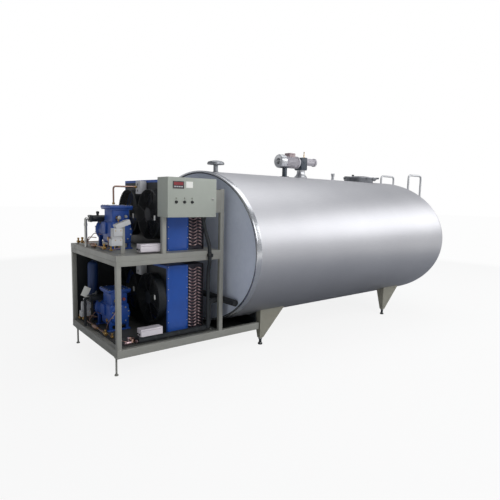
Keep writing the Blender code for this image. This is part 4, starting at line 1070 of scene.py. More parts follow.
# %% Valves, drop pipes and oil separator
def suction_side(tag):
    seat = SEATS[tag]
    vx, vy, vz = COMP_X - 0.06, COMP_Y[tag] + 0.220 - 0.045, seat + 0.175 + 0.115
    parts = [turned("stub", [(0.030, 0.0), (0.030, 0.05)], (vx, vy, vz - 0.05), sides=24),
             soften(rod("valve", 0.034, (vx + 0.045, vy, vz), (vx - 0.105, vy, vz), 28, 0),
                    0.006, 3),
             rod("cap", 0.022, (vx + 0.044, vy, vz), (vx + 0.064, vy, vz), 6, 0.003),
             block("flange", (vx - 0.135, vy - 0.036, vz - 0.036),
                   (vx - 0.105, vy + 0.036, vz + 0.036), 0.010, 3),
             turned("spindle", [(0.012, 0.0), (0.012, 0.018), (0.016, 0.020), (0.016, 0.038),
                                (0.010, 0.044)], (vx - 0.045, vy, vz + 0.030), sides=16)]
    done(weld("suction_valve_" + tag, parts), "frame", BLACK_CAST)
    bolts("valve_bolts_" + tag, [(vx - 0.1352, vy + a * 0.026, vz + b * 0.026)
                                 for a in (-1, 1) for b in (-1, 1)],
          AGAINST_X, 0.005)
    x = vx - 0.168
    drop = [tube("drop", [(vx - 0.133, vy, vz), (x, vy, vz), (x, vy, seat + 0.001)], 0.0138, 16,
                 0.030, 6)]
    for z in (vz - 0.075, seat + 0.060):
        drop.append(turned("socket", [(0.0138, 0.0), (0.0168, 0.003), (0.0168, 0.024),
                                      (0.0138, 0.027)], (x, vy, z), sides=18))
    done(weld("suction_drop_" + tag, drop), "frame",
         FOAM if tag == "low" else STEEL)


for tag in TIERS:
    suction_side(tag)
BOTTLE = [(0.030, 0.0), (0.050, 0.001), (0.0500, 0.030), (0.0535, 0.036), (0.0550, 0.048),
          (0.0550, 0.300), (0.0556, 0.303), (0.0556, 0.311), (0.0550, 0.314), (0.0550, 0.606),
          (0.0530, 0.622), (0.0450, 0.640), (0.0300, 0.650), (0.0130, 0.654), (0.0130, 0.6590)]
spot = (at(-1.025), 0.480, SEATS["low"])
bottle = turned("separator_shell", BOTTLE, spot, sides=40)
# The separator's dark blue is painted shade.
done(bottle, "frame", BLUE_PAINTED_SHADE, ["oil_separator"], 30)
print("valves, drops and separator", [round(v, 3) for v in bottle.dimensions])

# %% [markdown]
# Copper runs between the machines: a thin discharge line over the upper unit, and
# liquid and oil lines along each deck with brass valves, dryers and flare nuts. These
# are small parts, but they are what makes the deck look worked in. A line is one tube
# through a few corners, and each nut is a six-sided rod. A capillary rolled up in a coil
# and a valve with an elbow lie at the near corner of the low deck.

# %% Copper lines
def line(name, points, radius=0.0055, corner=0.022, replaces=()):
    piece = tube(name, points, radius, 12, corner, 5)
    return done(piece, "frame", COPPER, replaces, 60)


low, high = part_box("discharge_pipe")
cx, py, pz = COMP_X, 0.030, 1.735
line("discharge_line", [(cx, py, low.z + 0.0005), (cx, py, pz), (high.x, py, pz)],
     0.0088, 0.030, ["discharge_pipe"])
nuts = [rod("nut", 0.0150, (cx, py, low.z + 0.001), (cx, py, low.z + 0.020), 6, 0.0015),
        rod("nut", 0.0135, (high.x - 0.020, py, pz), (high.x - 0.001, py, pz), 6, 0.0015)]
done(weld("discharge_nuts", nuts), "frame", BRASS)


def deck_lines(tag):
    z = SEATS[tag]
    x0 = at(-1.145)
    line("liquid_line_" + tag, [(x0, -0.18, z + 0.030), (x0, 0.42, z + 0.030),
                                (at(-0.80), 0.42, z + 0.030), (at(-0.80), 0.36, z + 0.030)])
    line("oil_line_" + tag, [(x0 + 0.028, -0.30, z + 0.018), (x0 + 0.028, 0.33, z + 0.018),
                             (x0 + 0.028, 0.33, z + 0.090), (at(-1.070), 0.22, z + 0.090)],
         0.0045)
    line("vent_line_" + tag, [(x0 + 0.012, 0.30, z + 0.046), (x0 + 0.080, 0.30, z + 0.130),
                              (x0 + 0.105, 0.12, z + 0.128)], 0.004)
    dryer = turned("filter_dryer_" + tag, [(0.006, -0.060), (0.010, -0.056), (0.021, -0.044),
                                           (0.024, -0.036), (0.024, 0.036), (0.021, 0.044),
                                           (0.010, 0.056), (0.006, 0.060)],
                   (x0, 0.08, z + 0.030), ALONG_Y, 24)
    done(dryer, "frame", COPPER)
    fittings = []
    for y in (-0.17, 0.005, 0.155, 0.34):
        fittings.append(rod("nut", 0.0115, (x0, y, z + 0.030), (x0, y + 0.016, z + 0.030), 6,
                            0.001))
    for spot, size in (((x0, -0.21, z + 0.028), 0.020), ((x0 + 0.004, 0.445, z + 0.030), 0.022),
                       ((x0 - 0.010, 0.535, z + 0.024), 0.019),
                       ((x0 + 0.028, -0.31, z + 0.020), 0.016)):
        x, y, h = spot
        fittings.append(soften(rod("body", size * 0.8, (x, y - size, h), (x, y + size, h), 20,
                                   0), size * 0.2, 3))
        fittings.append(rod("stem", size * 0.42, (x, y, h), (x, y, h + size * 1.5), 16, 0.001))
        fittings.append(rod("cap", size * 0.62, (x, y, h + size * 1.2),
                            (x, y, h + size * 2.2), 6, 0.0015))
    done(weld("brass_valves_" + tag, fittings), "frame", BRASS)
    vx, vy = COMP_X - 0.040, COMP_Y[tag] - 0.212
    line("service_line_" + tag, [(vx, vy, z + 0.284), (vx, vy, z + 0.250),
                                 (vx - 0.045, vy - 0.045, z + 0.190),
                                 (vx - 0.110, vy - 0.040, z + 0.120),
                                 (vx - 0.115, vy - 0.010, z + 0.030)], 0.0040)


for tag in TIERS:
    deck_lines(tag)
z = DECK_LOW
parts = [hoop((at(-1.010), -0.505, z + 0.010 + 0.0085 * i), 0.034 + 0.0015 * (i % 2), 0.0042,
              (0, 0, 0), 36, 8) for i in range(4)]
parts.append(tube("tail", [(at(-1.044), -0.505, z + 0.014), (at(-1.085), -0.500, z + 0.022),
                           (at(-1.090), -0.440, z + 0.026)], 0.0042, 10, 0.012, 4))
done(weld("coiled_capillary", parts), "frame", COPPER)
parts = [soften(rod("body", 0.0165, (at(-1.085), -0.560, z + 0.020),
                    (at(-1.035), -0.560, z + 0.020), 20, 0), 0.003, 3),
         rod("stem", 0.0085, (at(-1.060), -0.560, z + 0.020), (at(-1.060), -0.560, z + 0.058),
             14, 0.001),
         rod("cap", 0.0125, (at(-1.060), -0.560, z + 0.050), (at(-1.060), -0.560, z + 0.074),
             6, 0.0015),
         rod("nut", 0.0150, (at(-1.100), -0.560, z + 0.020), (at(-1.086), -0.560, z + 0.020),
             6, 0.001),
         soften(rod("elbow", 0.0150, (at(-0.985), -0.565, z + 0.018),
                    (at(-0.955), -0.540, z + 0.018), 18, 0), 0.003, 3)]
done(weld("corner_valve", parts), "frame", BEND_COPPER)
print("copper lines and brass valves on two decks")

# %% [markdown]
# ## Control box
# The box is folded from sheet, with a plain door that closes over it on a hinge at its
# left edge. The door has a window with a display, a blank tag, three push buttons with
# a small lamp over each, and a turn lock. Inside are a mounting plate with rails,
# contactors and wiring duct, which show when the door swings open.

# %% Box and door
BX0, BW, BZ, BH, BFRONT, BDEPTH, DOOR_T = at(-0.754), 0.528, 1.454, 0.367, -0.7223, 0.182, 0.018
BX1, BZ1, BACK = BX0 + BW, BZ + BH, BFRONT + BDEPTH
shell = block("box", (BX0, BFRONT, BZ), (BX1, BACK, BZ1), 0)
pick(shell, lambda c, n: n.y < -0.9)
bpy.ops.mesh.inset(thickness=0.012, depth=0)
bpy.ops.mesh.inset(thickness=0.0004, depth=-0.004)
bpy.ops.mesh.inset(thickness=0.0004, depth=0)
bpy.ops.mesh.extrude_region_move(TRANSFORM_OT_translate={"value": (0, 0.014, 0)})
bpy.ops.mesh.extrude_region_move(TRANSFORM_OT_translate={"value": (0, 0.001, 0)})
bpy.ops.transform.resize(value=((BW - 0.008) / (BW - 0.026), 1, (BH - 0.008) / (BH - 0.026)),
                         center_override=((BX0 + BX1) / 2, 0, (BZ + BZ1) / 2))
bpy.ops.mesh.extrude_region_move(TRANSFORM_OT_translate={"value": (0, BDEPTH - 0.024, 0)})
bpy.ops.object.mode_set(mode="OBJECT")
soften(shell, 0.0030, 3, 50)
done(shell, "frame", BOX_GREY, ["box_body"])
front = BFRONT - 0.0003 - DOOR_T
door = press(block("door", (BX0, front, BZ), (BX1, BFRONT - 0.0003, BZ1), 0),
             lambda c, n: n.y > 0.9, (0.004, 0), (0.0004, -0.014))
soften(door, 0.0030, 3, 50)
done(door, "door", BOX_GREY, ["box_door"])
print("box and door", [round(v, 3) for v in door.dimensions])

# %% Door furniture
window = press(block("window", (BX0 + 0.052, front - 0.0055, BZ1 - 0.104),
                     (BX0 + 0.166, front + 0.001, BZ1 - 0.036), 0),
               lambda c, n: n.y < -0.9, (0.007, 0), (0.0015, -0.0030))
done(soften(window, 0.0012, 2, 50), "door", SCREEN)
wx0, wz1 = BX0 + 0.0605, BZ1 - 0.0445
filter_ = block("filter", (wx0, front - 0.0045, wz1 - 0.028), (wx0 + 0.097, front - 0.002, wz1),
                0.0008, 1)
done(filter_, "door", RED_FILTER)
bars = [block("bar", (wx0 + 0.004 + 0.0235 * k, front - 0.0040, wz1 - 0.046),
              (wx0 + 0.022 + 0.0235 * k, front - 0.002, wz1 - 0.036), 0.0006, 1)
        for k in range(4)]
done(weld("display_keys", bars), "door", ABS_GREY)
tag = block("tag", (BX0 + 0.190, front - 0.0010, BZ1 - 0.094),
            (BX0 + 0.262, front + 0.0005, BZ1 - 0.036), 0.0005, 1)
done(tag, "door", PAPER)
rims, caps, lamps = [], [], []
for bx in (0.088, 0.174, 0.256):
    spot = (BX0 + bx, front, BZ + 0.141)
    rims.append(turned("bezel", [(0.0150, -0.001), (0.0150, 0.003), (0.0138, 0.0052),
                                 (0.0118, 0.0056), (0.0112, 0.0040)], spot, AGAINST_Y, 32))
    caps.append(turned("cap", [(0.0108, 0.0), (0.0108, 0.013), (0.0100, 0.0155),
                               (0.0070, 0.0160), (0.0020, 0.0158)], spot, AGAINST_Y, 28))
    lamps.append(turned("lamp", [(0.0075, 0.0), (0.0075, 0.003), (0.0058, 0.0042),
                                 (0.0050, 0.0068), (0.0020, 0.0082)],
                        (BX0 + bx, front, BZ + 0.176), AGAINST_Y, 24))
done(weld("button_bezels", rims), "door", BUTTON)
done(weld("button_caps", caps), "door", BUTTON)
done(weld("pilot_lamps", lamps), "door", LAMP)
lock = [turned("rose", [(0.0135, 0.0), (0.0135, 0.0028), (0.0115, 0.0045), (0.0085, 0.0048)],
               (BX1 - 0.040, front, BZ + 0.175), AGAINST_Y, 28),
        block("bit", (BX1 - 0.0420, front - 0.0090, BZ + 0.167),
              (BX1 - 0.0380, front - 0.0030, BZ + 0.183), 0.0010, 2)]
done(weld("turn_lock", lock), "door", STEEL)
hinges = [rod("pin", 0.0035, (BX0 + 0.004, BFRONT + 0.004, z - 0.022),
              (BX0 + 0.004, BFRONT + 0.004, z + 0.022), 14, 0.0008)
          for z in (BZ + 0.055, BZ1 - 0.055)]
done(weld("hinge_pins", hinges), "frame", STEEL)
print("door furniture")

# %% Inside the box
by = BACK - 0.004
panel = block("panel", (BX0 + 0.030, by - 0.012, BZ + 0.028),
              (BX1 - 0.030, by - 0.010, BZ1 - 0.028), 0.0006, 1)
done(panel, "frame", ZINC)
ducts, rails, gear, studs = [], [], [], []
for x0, x1, z0, z1 in ((0.045, 0.075, 0.040, 0.327), (0.453, 0.483, 0.040, 0.327),
                       (0.080, 0.448, 0.170, 0.198)):
    ducts.append(block("duct", (BX0 + x0, by - 0.058, BZ + z0), (BX0 + x1, by - 0.012, BZ + z1),
                       0.0012, 2))
for z in (0.090, 0.262):
    rails.append(block("rail", (BX0 + 0.085, by - 0.019, BZ + z - 0.0175),
                       (BX0 + 0.443, by - 0.012, BZ + z + 0.0175), 0.0010, 1))
    for k in range(6):
        x = BX0 + 0.100 + 0.056 * k
        unit = press(block("unit", (x, by - 0.082, BZ + z - 0.040),
                           (x + 0.045, by - 0.019, BZ + z + 0.040), 0),
                     lambda c, n: n.y < -0.9, (0.009, 0), (0.0015, 0.009))
        gear.append(soften(unit, 0.0015, 2, 40))
        studs += [rod("stud", 0.0032, (x + 0.010 + 0.0125 * j, by - 0.083, BZ + z + s * 0.0350),
                      (x + 0.010 + 0.0125 * j, by - 0.080, BZ + z + s * 0.0350), 10, 0.0005)
                  for j in range(3) for s in (-1, 1)]
done(weld("wiring_duct", ducts), "frame", ABS_GREY)
done(weld("mounting_rails", rails), "frame", STEEL)
done(weld("contactors", gear), "frame", BUTTON)
done(weld("terminal_screws", studs), "frame", BRASS)
print("inside of the box:", len(gear), "switching units")

# %% [markdown]
# A black corrugated conduit leaves the floor of the box and hangs in front of the rear
# post, where a clamp holds it to the mid rail. Both its ends are fixed, in a gland on
# the box and behind the low rail, so it is fitted wiring and not a loose cord.

# %% Conduit, gland and clamp
gx, gy = at(-0.300), -0.6300
path = [(gx, gy, BZ - 0.001), (gx, gy, BZ - 0.050), (gx + 0.030, gy + 0.010, 1.300),
        (gx + 0.066, -0.6400, 1.170), (gx + 0.058, -0.6660, 1.070), (gx + 0.056, -0.6660, 1.000),
        (gx + 0.084, -0.6000, 0.900), (gx + 0.088, -0.5900, 0.700), (gx + 0.088, -0.5900, 0.300)]
hose = tube("conduit", path, 0.0185, 18, 0.12, 12)
take(hose)
bpy.ops.object.mode_set(mode="EDIT")
bpy.ops.mesh.select_all(action="SELECT")
bpy.ops.mesh.subdivide(number_cuts=1)
bpy.ops.object.mode_set(mode="OBJECT")
done(hose, "frame", RUBBER, (), 60)
gland = turned("conduit_gland", [(0.028, 0.0), (0.028, -0.010), (0.024, -0.013),
                                 (0.024, -0.026), (0.0195, -0.030)], (gx, gy, BZ), sides=24)
done(gland, "frame", BUTTON)
strap = [block("strap", (gx + 0.032, -0.6900, 1.050), (gx + 0.086, -0.6455, 1.086), 0.008, 3),
         rod("screw", 0.005, (gx + 0.042, -0.691, 1.068), (gx + 0.042, -0.688, 1.068), 10,
             0.0008)]
done(weld("conduit_clamp", strap), "frame", BUTTON)
print("conduit of", round(sum((Vector(a) - Vector(b)).length for a, b in zip(path, path[1:])), 2),
      "m")

# %% [markdown]
# The wiring boxes on the decks have a lid with a step round it, four lid screws and
# cable glands. Each switch stand is a strip with a sloping gauge plate and two pressure
# switches; the plain CAD stand is part of its deck, and these covers and the backing
# between them fit round it. A blank paper tag hangs at the low stand.

# %% Wiring boxes
for tag in TIERS:
    low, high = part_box("junction_" + tag)
    floor_z = high.z - 0.072
    box_ = block("case", (low.x, -0.598, floor_z), (high.x, -0.505, high.z - 0.020), 0.004, 3)
    lid = press(block("lid", (low.x, -0.598, high.z - 0.019), (high.x, -0.505, high.z),
                      0.004, 3),
                lambda c, n: n.z > 0.9 and c.z > high.z - 0.001, (0.010, -0.0012))
    foot = block("foot", (low.x + 0.02, -0.535, low.z),
                 (high.x - 0.02, -0.515, floor_z + 0.002), 0.002, 2)
    done(weld("wiring_box_" + tag, [box_, lid, foot]), "frame", ABS_WHITE,
         ["junction_" + tag])
    spots = [(x, y, high.z - 0.0008) for x in (low.x + 0.012, high.x - 0.012)
             for y in (-0.587, -0.516)]
    screws = [rod("screw", 0.0035, s, (s[0], s[1], s[2] + 0.0006), 12, 0) for s in spots]
    screws += [turned("gland", [(0.009, 0.0), (0.009, 0.006), (0.0065, 0.008)],
                      (low.x - 0.0005, -0.570 + 0.040 * k, high.z - 0.050), AGAINST_X, 16)
               for k in range(2)]
    done(weld("wiring_box_fittings_" + tag, screws), "frame", BUTTON)
print("two wiring boxes")

# %% Switches and gauge plates on the decks
STANDS = {"low": (at(-1.085), 0.372), "up": (at(-1.080), -0.500)}
for tag, (sx, sy) in STANDS.items():
    z = DECK_LOW if tag == "low" else DECK_UP
    skin_ = 0.0012
    parts = []
    for x0, x1, h, z0, z1 in ((-0.095, -0.015, 0.035, 0.165, 0.235),
                              (-0.115, -0.015, 0.030, 0.080, 0.140)):
        parts.append(block("cover", (sx + x0 - skin_, sy - h - skin_, z + z0 - skin_),
                           (sx + x1 + skin_, sy + h + skin_, z + z1 + skin_), 0.004, 3))
    parts.append(block("backing", (sx - 0.104, sy - 0.020, z + 0.100),
                       (sx - 0.0165, sy + 0.020, z + 0.222), 0.003, 2))
    done(weld("pressure_switches_" + tag, parts), "frame", ABS_GREY)
    tilt = Matrix.Rotation(math.radians(-20), 4, "Y")
    centre = Vector((sx - 0.005, sy, z + 0.270))
    plate = block("plate", (-0.0712, -0.0312, -0.0212), (0.0712, 0.0312, 0.0212), 0.0030, 2)
    settle(plate, Matrix.Translation(centre) @ tilt)
    done(plate, "frame", ABS_GREY)
    dials = []
    for k in (-1, 1):
        place = Matrix.Translation(centre) @ tilt @ Matrix.Translation((k * 0.034, 0, 0.0205))
        dials.append(turned("dial", [(0.0240, 0.0), (0.0240, 0.004), (0.0225, 0.0050),
                                     (0.0215, 0.0030), (0.010, 0.0030)], sides=32))
        settle(dials[-1], place)
    done(weld("gauge_rims_" + tag, dials), "frame", STEEL)
    caps = []
    for h, r in ((0.165, 0.035), (0.080, 0.030)):
        for k in (-1, 1):
            x = sx - 0.055 + k * 0.024
            caps.append(rod("screw", 0.005, (x, sy - r - 0.0030, z + h + 0.050),
                            (x, sy - r, z + h + 0.050), 12, 0.0008))
            x = sx - 0.055 + k * 0.020
            caps.append(rod("tail", 0.0035, (x, sy, z + h - 0.022), (x, sy, z + h), 10, 0))
    done(weld("switch_screws_" + tag, caps), "frame", BRASS)
    line("capillary_" + tag, [(sx - 0.075, sy, z + 0.082), (sx - 0.075, sy, z + 0.040),
                              (sx - 0.060, sy + 0.10, z + 0.030),
                              (sx + 0.020, sy + 0.12, z + 0.040)], 0.0028)
sx, sy = STANDS["low"]
card = block("tag", (-0.036, -0.0012, -0.056), (0.036, 0.0012, 0.056), 0.0006, 1)
settle(card, Matrix.Translation((sx - 0.046, sy + 0.026, DECK_LOW + 0.335))
       @ Matrix.Rotation(math.radians(-35), 4, "Z") @ Matrix.Rotation(math.radians(24), 4, "Y"))
done(card, "frame", PAPER)
print("two switch stands")

# %% [markdown]
# The cold line runs along the low rail inside black foam, sleeved in lengths that are
# glued end to end. Each sleeve swells a little between its joints. It rises at the tank
# and meets the header that crosses the tank's end.

# %% Insulated lines
low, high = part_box("header_pipe")
r = 0.033
hx, hz = low.x + r, (low.z + high.z) / 2
SLEEVE, span, SLEEVES = [(0.0240, 0.0)], high.y - low.y, 4
for i in range(SLEEVES):
    a = span * i / SLEEVES
    SLEEVE += [(0.0318, a + 0.002), (0.0329, a + 0.010), (0.0329, a + span / SLEEVES - 0.010),
               (0.0318, a + span / SLEEVES - 0.002)]
SLEEVE.append((0.0240, span))
pipe = turned("header", SLEEVE, (hx, low.y, hz), ALONG_Y, 32)
stub_y = low.y + 0.045
stub = rod("stub", 0.0262, (hx, stub_y, hz), (high.x, stub_y, hz), 28, 0.002)
done(weld("header_sleeve", [pipe, stub]), "frame", FOAM, ["header_pipe"])
low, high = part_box("suction_line")
sy, sr = -0.570, 0.0258
path = [(low.x + 0.0005, sy, low.z + 0.026), (at(-0.19), sy, low.z + 0.026),
        (at(-0.19), sy, hz), (hx - r, sy, hz)]
done(tube("suction_sleeve", path, sr, 24, 0.075, 8), "frame", FOAM,
     ["suction_line"], 60)
rings = []
for x in (at(-0.80), at(-0.55), at(-0.34)):
    rings.append(turned("joint", [(0.0262, -0.012), (0.0268, -0.010), (0.0268, 0.010),
                                  (0.0262, 0.012)], (x, sy, low.z + 0.0262), ALONG_X, 28))
    rings.append(block("saddle", (x - 0.010, sy - 0.026, low.z + 0.0004),
                       (x + 0.010, sy + 0.026, low.z + 0.010), 0.003, 2))
done(weld("sleeve_tape", rings), "frame", RUBBER)
print("cold line and header")

# %% [markdown]
# ## On top of the tank
# The vent is a mushroom cap on a short pipe. The agitator is driven by a finned motor
# that lies along the tank on a post, with a worm gearbox on a stool over the shaft. The
# frame gives where each stands, and turned profiles and bolts give what each is.

# %% Vent and nozzle
VENT_X, NOZZLE_X, AGI_X = 0.262, 2.327, 1.665
low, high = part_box("vent")
h, cap = high.z - CROWN, (high.x - low.x) / 2
vent = turned("vent_cap", [(cap * 0.34, 0.0003), (cap * 0.34, 0.006), (cap * 0.27, 0.010),
                           (cap * 0.27, h - 0.056), (cap * 0.34, h - 0.050),
                           (cap * 0.34, h - 0.030), (cap * 0.84, h - 0.044),
                           (cap * 0.985, h - 0.046), (cap, h - 0.040), (cap * 0.99, h - 0.028),
                           (cap * 0.90, h - 0.015), (cap * 0.66, h - 0.006),
                           (cap * 0.36, h - 0.0015), (cap * 0.10, h)],
              (at(VENT_X), 0, CROWN), sides=56)
done(vent, "frame", WORN_PART, ["vent"], 40)
low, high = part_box("nozzle")
h, r = high.z - CROWN, (high.x - low.x) / 2
noz = turned("nozzle_cap", [(r, 0.0003), (r, 0.005), (r * 0.62, 0.008), (r * 0.62, h * 0.55),
                            (r * 0.78, h * 0.58), (r * 0.80, h * 0.66), (r * 0.70, h * 0.70),
                            (r * 0.86, h * 0.74), (r * 0.88, h * 0.94), (r * 0.76, h * 0.985),
                            (r * 0.30, h)], (at(NOZZLE_X), 0, CROWN), sides=36)
done(noz, "frame", BRUSHED_PART, ["nozzle"], 30)
print("vent and nozzle")

# %% Agitator motor
mz = CROWN + 0.200
mx1 = at(AGI_X) - 0.075 - 0.0003
mx0 = mx1 - 0.350
barrel = turned("barrel", [(0.064, 0.0), (0.070, 0.003), (0.0705, 0.250)],
                (mx0 + 0.085, 0, mz), ALONG_X, 40)
fins_ = [barrel]
for k in range(28):
    a = math.tau * k / 28
    if 60 < math.degrees(a) < 120:
        continue
    fin = block("fin", (mx0 + 0.096, -0.0016, 0.069), (mx1 - 0.034, 0.0016, 0.0815), 0.0008, 1)
    turn = Matrix.Rotation(a - math.pi / 2, 4, "X")
    fins_.append(settle(fin, Matrix.Translation((0, 0, mz)) @ turn))
bell = turned("bell", [(0.060, 0.0), (0.0815, 0.002), (0.0815, 0.020), (0.074, 0.032),
                       (0.060, 0.034)], (mx1 - 0.034, 0, mz), ALONG_X, 40)
done(weld("agitator_motor_body", fins_ + [bell]), "frame", CAST_ALLOY,
     ["agitator_motor"])
cowl = turned("cowl", [(0.040, 0.0055), (0.060, 0.0030), (0.074, 0.0008), (0.083, 0.0060),
                       (0.088, 0.0180), (0.0885, 0.0300), (0.0885, 0.0900), (0.0865, 0.0900),
                       (0.0865, 0.0300), (0.0860, 0.0200), (0.0800, 0.0095), (0.0740, 0.0040),
                       (0.0600, 0.0055), (0.040, 0.0080), (0.040, 0.0055)],
              (mx0, 0, mz), ALONG_X, 48, close=False)
grille = [cowl]
hub = Vector((mx0 + 0.0050, 0, mz))
for i in range(5):
    grille.append(hoop(hub, 0.0090 + 0.0075 * i, 0.0012, sides=32))
for k in range(6):
    a = math.tau * k / 6
    way = Vector((0, math.cos(a), math.sin(a)))
    grille.append(rod("wire", 0.0012, hub + way * 0.008, hub + way * 0.042, 6, 0))
done(weld("motor_cowl", grille), "frame", BRUSHED_PART)
dark = turned("cooling_fan", [(0.018, 0.0), (0.036, 0.002), (0.078, 0.010), (0.078, 0.014),
                              (0.020, 0.016)], (mx0 + 0.0150, 0, mz), ALONG_X, 32)
done(dark, "frame", NYLON)
lid = block("terminal_box", (mx1 - 0.19, -0.050, mz + 0.060), (mx1 - 0.085, 0.050, mz + 0.098),
            0.004, 3)
top = block("top", (mx1 - 0.19, -0.050, mz + 0.099), (mx1 - 0.085, 0.050, mz + 0.115), 0.004, 3)
done(weld("motor_terminal_box", [lid, top]), "frame", PINK_BOX)
bolts("terminal_box_screws", [(mx1 - 0.1375 + a * 0.043, b * 0.040, mz + 0.1128)
                              for a in (-1, 1) for b in (-1, 1)], UP, 0.0032)
post = [block("post", (mx0 + 0.102, -0.028, CROWN + 0.008), (mx0 + 0.143, 0.028, mz - 0.066),
              0.005, 3),
        block("foot", (mx0 + 0.08, -0.045, CROWN + 0.0004),
              (mx0 + 0.165, 0.045, CROWN + 0.0084), 0.002, 2),
        block("yoke", (mx0 + 0.098, -0.048, mz - 0.080), (mx0 + 0.147, 0.048, mz - 0.064),
              0.004, 2)]
done(weld("motor_post", post), "frame", SLATE)
print("agitator motor")

# %% Gearbox, stool and cover
gx, gz = at(AGI_X), CROWN + 0.200 - 0.014
stool = turned("stool", [(0.088, 0.0003), (0.088, 0.010), (0.083, 0.014), (0.070, 0.030),
                         (0.056, 0.055), (0.053, 0.075), (0.055, 0.104)], (gx, 0, CROWN),
               sides=44)
ribs = []
for k in range(6):
    a = math.tau * (k + 0.5) / 6
    rib = block("rib", (0.050, -0.004, 0.010), (0.084, 0.004, 0.026), 0.002, 2)
    ribs.append(settle(rib, Matrix.Translation((gx, 0, CROWN)) @ Matrix.Rotation(a, 4, "Z")))
done(weld("agitator_stool", [stool] + ribs), "frame", BRUSHED_PART,
     ["agitator_drive"], 30)
ring = [(gx + 0.076 * math.cos(a), 0.076 * math.sin(a), CROWN + 0.012)
        for a in (math.tau * k / 6 for k in range(6))]
bolts("stool_bolts", ring, UP, 0.006)
case = block("case", (gx - 0.060, -0.068, gz - 0.083), (gx + 0.056, 0.068, gz + 0.083), 0.012, 4)
parts = [case]
for k in range(4):
    x = gx - 0.045 + 0.028 * k
    parts.append(block("rib", (x - 0.003, -0.070, gz - 0.070), (x + 0.003, 0.070, gz + 0.0848),
                       0.002, 2))
parts.append(rod("flange", 0.0695, (gx - 0.0748, 0, gz + 0.014), (gx - 0.058, 0, gz + 0.014),
                 40, 0.003))
parts.append(turned("plug", [(0.020, 0.0), (0.0200, 0.004), (0.012, 0.005)],
                    (gx, -0.0690, gz + 0.02), AGAINST_Y, 24))
done(weld("worm_gearbox", parts), "frame", SLATE)
cover = turned("cover", [(0.060, 0.0), (0.060, 0.028), (0.043, 0.030), (0.041, 0.040),
                         (0.041, 0.175), (0.043, 0.178), (0.0555, 0.180), (0.0560, 0.184),
                         (0.0560, 0.203), (0.050, 0.2062), (0.020, 0.2066)],
               (gx + 0.055, 0, gz + 0.036), ALONG_X, 44)
spokes = [cover]
for k in range(8):
    a = math.tau * (k + 0.5) / 8
    rib = block("rib", (gx + 0.084, -0.002, 0.040), (gx + 0.233, 0.002, 0.0500), 0.001, 1)
    spokes.append(settle(rib, Matrix.Translation((0, 0, gz + 0.036))
                         @ Matrix.Rotation(a, 4, "X")))
done(weld("gearbox_cover", spokes), "frame", CAST_ALLOY, (), 30)
low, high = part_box("agitator_drive")
breather = turned("breather", [(0.0070, 0.0), (0.0070, 0.060), (0.0048, 0.064),
                               (0.0048, 0.080), (0.0070, 0.083), (0.0070, 0.098),
                               (0.0040, 0.1000)], (gx + 0.050, 0, high.z - 0.1002), sides=18)
done(breather, "frame", BRASS, (), 30)
print("gearbox", [round(v, 3) for v in cover.dimensions])

# %% [markdown]
# The manway is a 400 mm opening with a short neck and a lid on a hinge. A clamp with a
# hand knob lies across it, and nine small dogs stand round its rim. The lid is spun: a
# flat rim with a bead, then a low dome. Lid, clamp and dogs ride on their own body, so
# they lift together when the hinge turns.

# %% Manway
TURN, TOP, LID_H, HINGE = math.radians(-35), 0.052, 0.036, 0.285
PLACE = Matrix.Translation((at(MAN_X), 0, CROWN)) @ Matrix.Rotation(TURN, 4, "Z")
neck = turned("neck", [(0.2000, -0.069), (0.2000, TOP), (0.2040, TOP), (0.2210, TOP - 0.001),
                       (0.2220, TOP - 0.004), (0.2218, TOP - 0.012), (0.2180, TOP - 0.019),
                       (0.2178, -0.069), (0.2000, -0.069)], sides=96, close=False)
settle(neck, PLACE)
parts = [neck]
for side in (-1, 1):
    ear = block("ear", (0.213, side * 0.052 - 0.006, 0.016),
                (HINGE + 0.015, side * 0.052 + 0.006, TOP + 0.019), 0)
    pick(ear, lambda c, n: n.z < -0.9)
    bpy.ops.transform.resize(value=(0.35, 1, 1), center_override=(0.213, 0, 0))
    bpy.ops.object.mode_set(mode="OBJECT")
    parts.append(settle(soften(ear, 0.003, 3), PLACE))
# The neck ring and the dogs carry the painted dark reflection.
done(weld("manway_ring", parts), "frame", DARK_REFLECTION_STEEL, ["manway_neck"])
PIN = TOP + 0.006
LOW = TOP + 0.0003
lid = turned("lid", [(0.200, LOW), (0.2300, LOW), (0.2318, LOW + 0.003), (0.2318, LOW + 0.011),
                     (0.2290, LOW + 0.015), (0.2200, LOW + 0.0165), (0.2120, LOW + 0.0150),
                     (0.2000, LOW + 0.0160), (0.1600, LOW + 0.0250), (0.1000, LOW + 0.0325),
                     (0.0500, LOW + 0.0352), (0.0100, LOW + LID_H)], sides=96)
settle(lid, PLACE)
arm = block("arm", (-HINGE + 0.447, -0.035, PIN - 0.003), (HINGE + 0.008, 0.035, PIN + 0.010),
            0.003, 2)
barrel = rod("barrel", 0.0108, (HINGE, -0.0395, PIN), (HINGE, 0.0395, PIN), 24, 0.001)
pieces = [lid, settle(arm, PLACE), settle(barrel, PLACE)]
done(weld("manway_cover", pieces), "lid", WORN_PART, ["manway_lid"])
dogs = []
for k in range(1, 10):
    a = math.tau * k / 10
    dog = block("dog", (0.2228, -0.013, LOW - 0.020), (0.2316, 0.013, LOW + 0.019), 0.0025, 2)
    dogs.append(settle(dog, PLACE @ Matrix.Rotation(a, 4, "Z")))
done(weld("lid_dogs", dogs), "lid", DARK_REFLECTION_STEEL)
bar = [block("bar", (-0.222, -0.014, LOW + 0.0165), (-0.060, 0.014, LOW + 0.0290), 0.004, 3),
       turned("stud", [(0.006, 0.0), (0.006, 0.010), (0.016, 0.011), (0.0185, 0.016),
                       (0.0185, 0.026), (0.0150, 0.030), (0.004, 0.031)],
              (-0.090, 0, LOW + 0.0265), sides=24)]
done(weld("lid_clamp", [settle(b, PLACE) for b in bar]), "lid", BLACK_CAST)
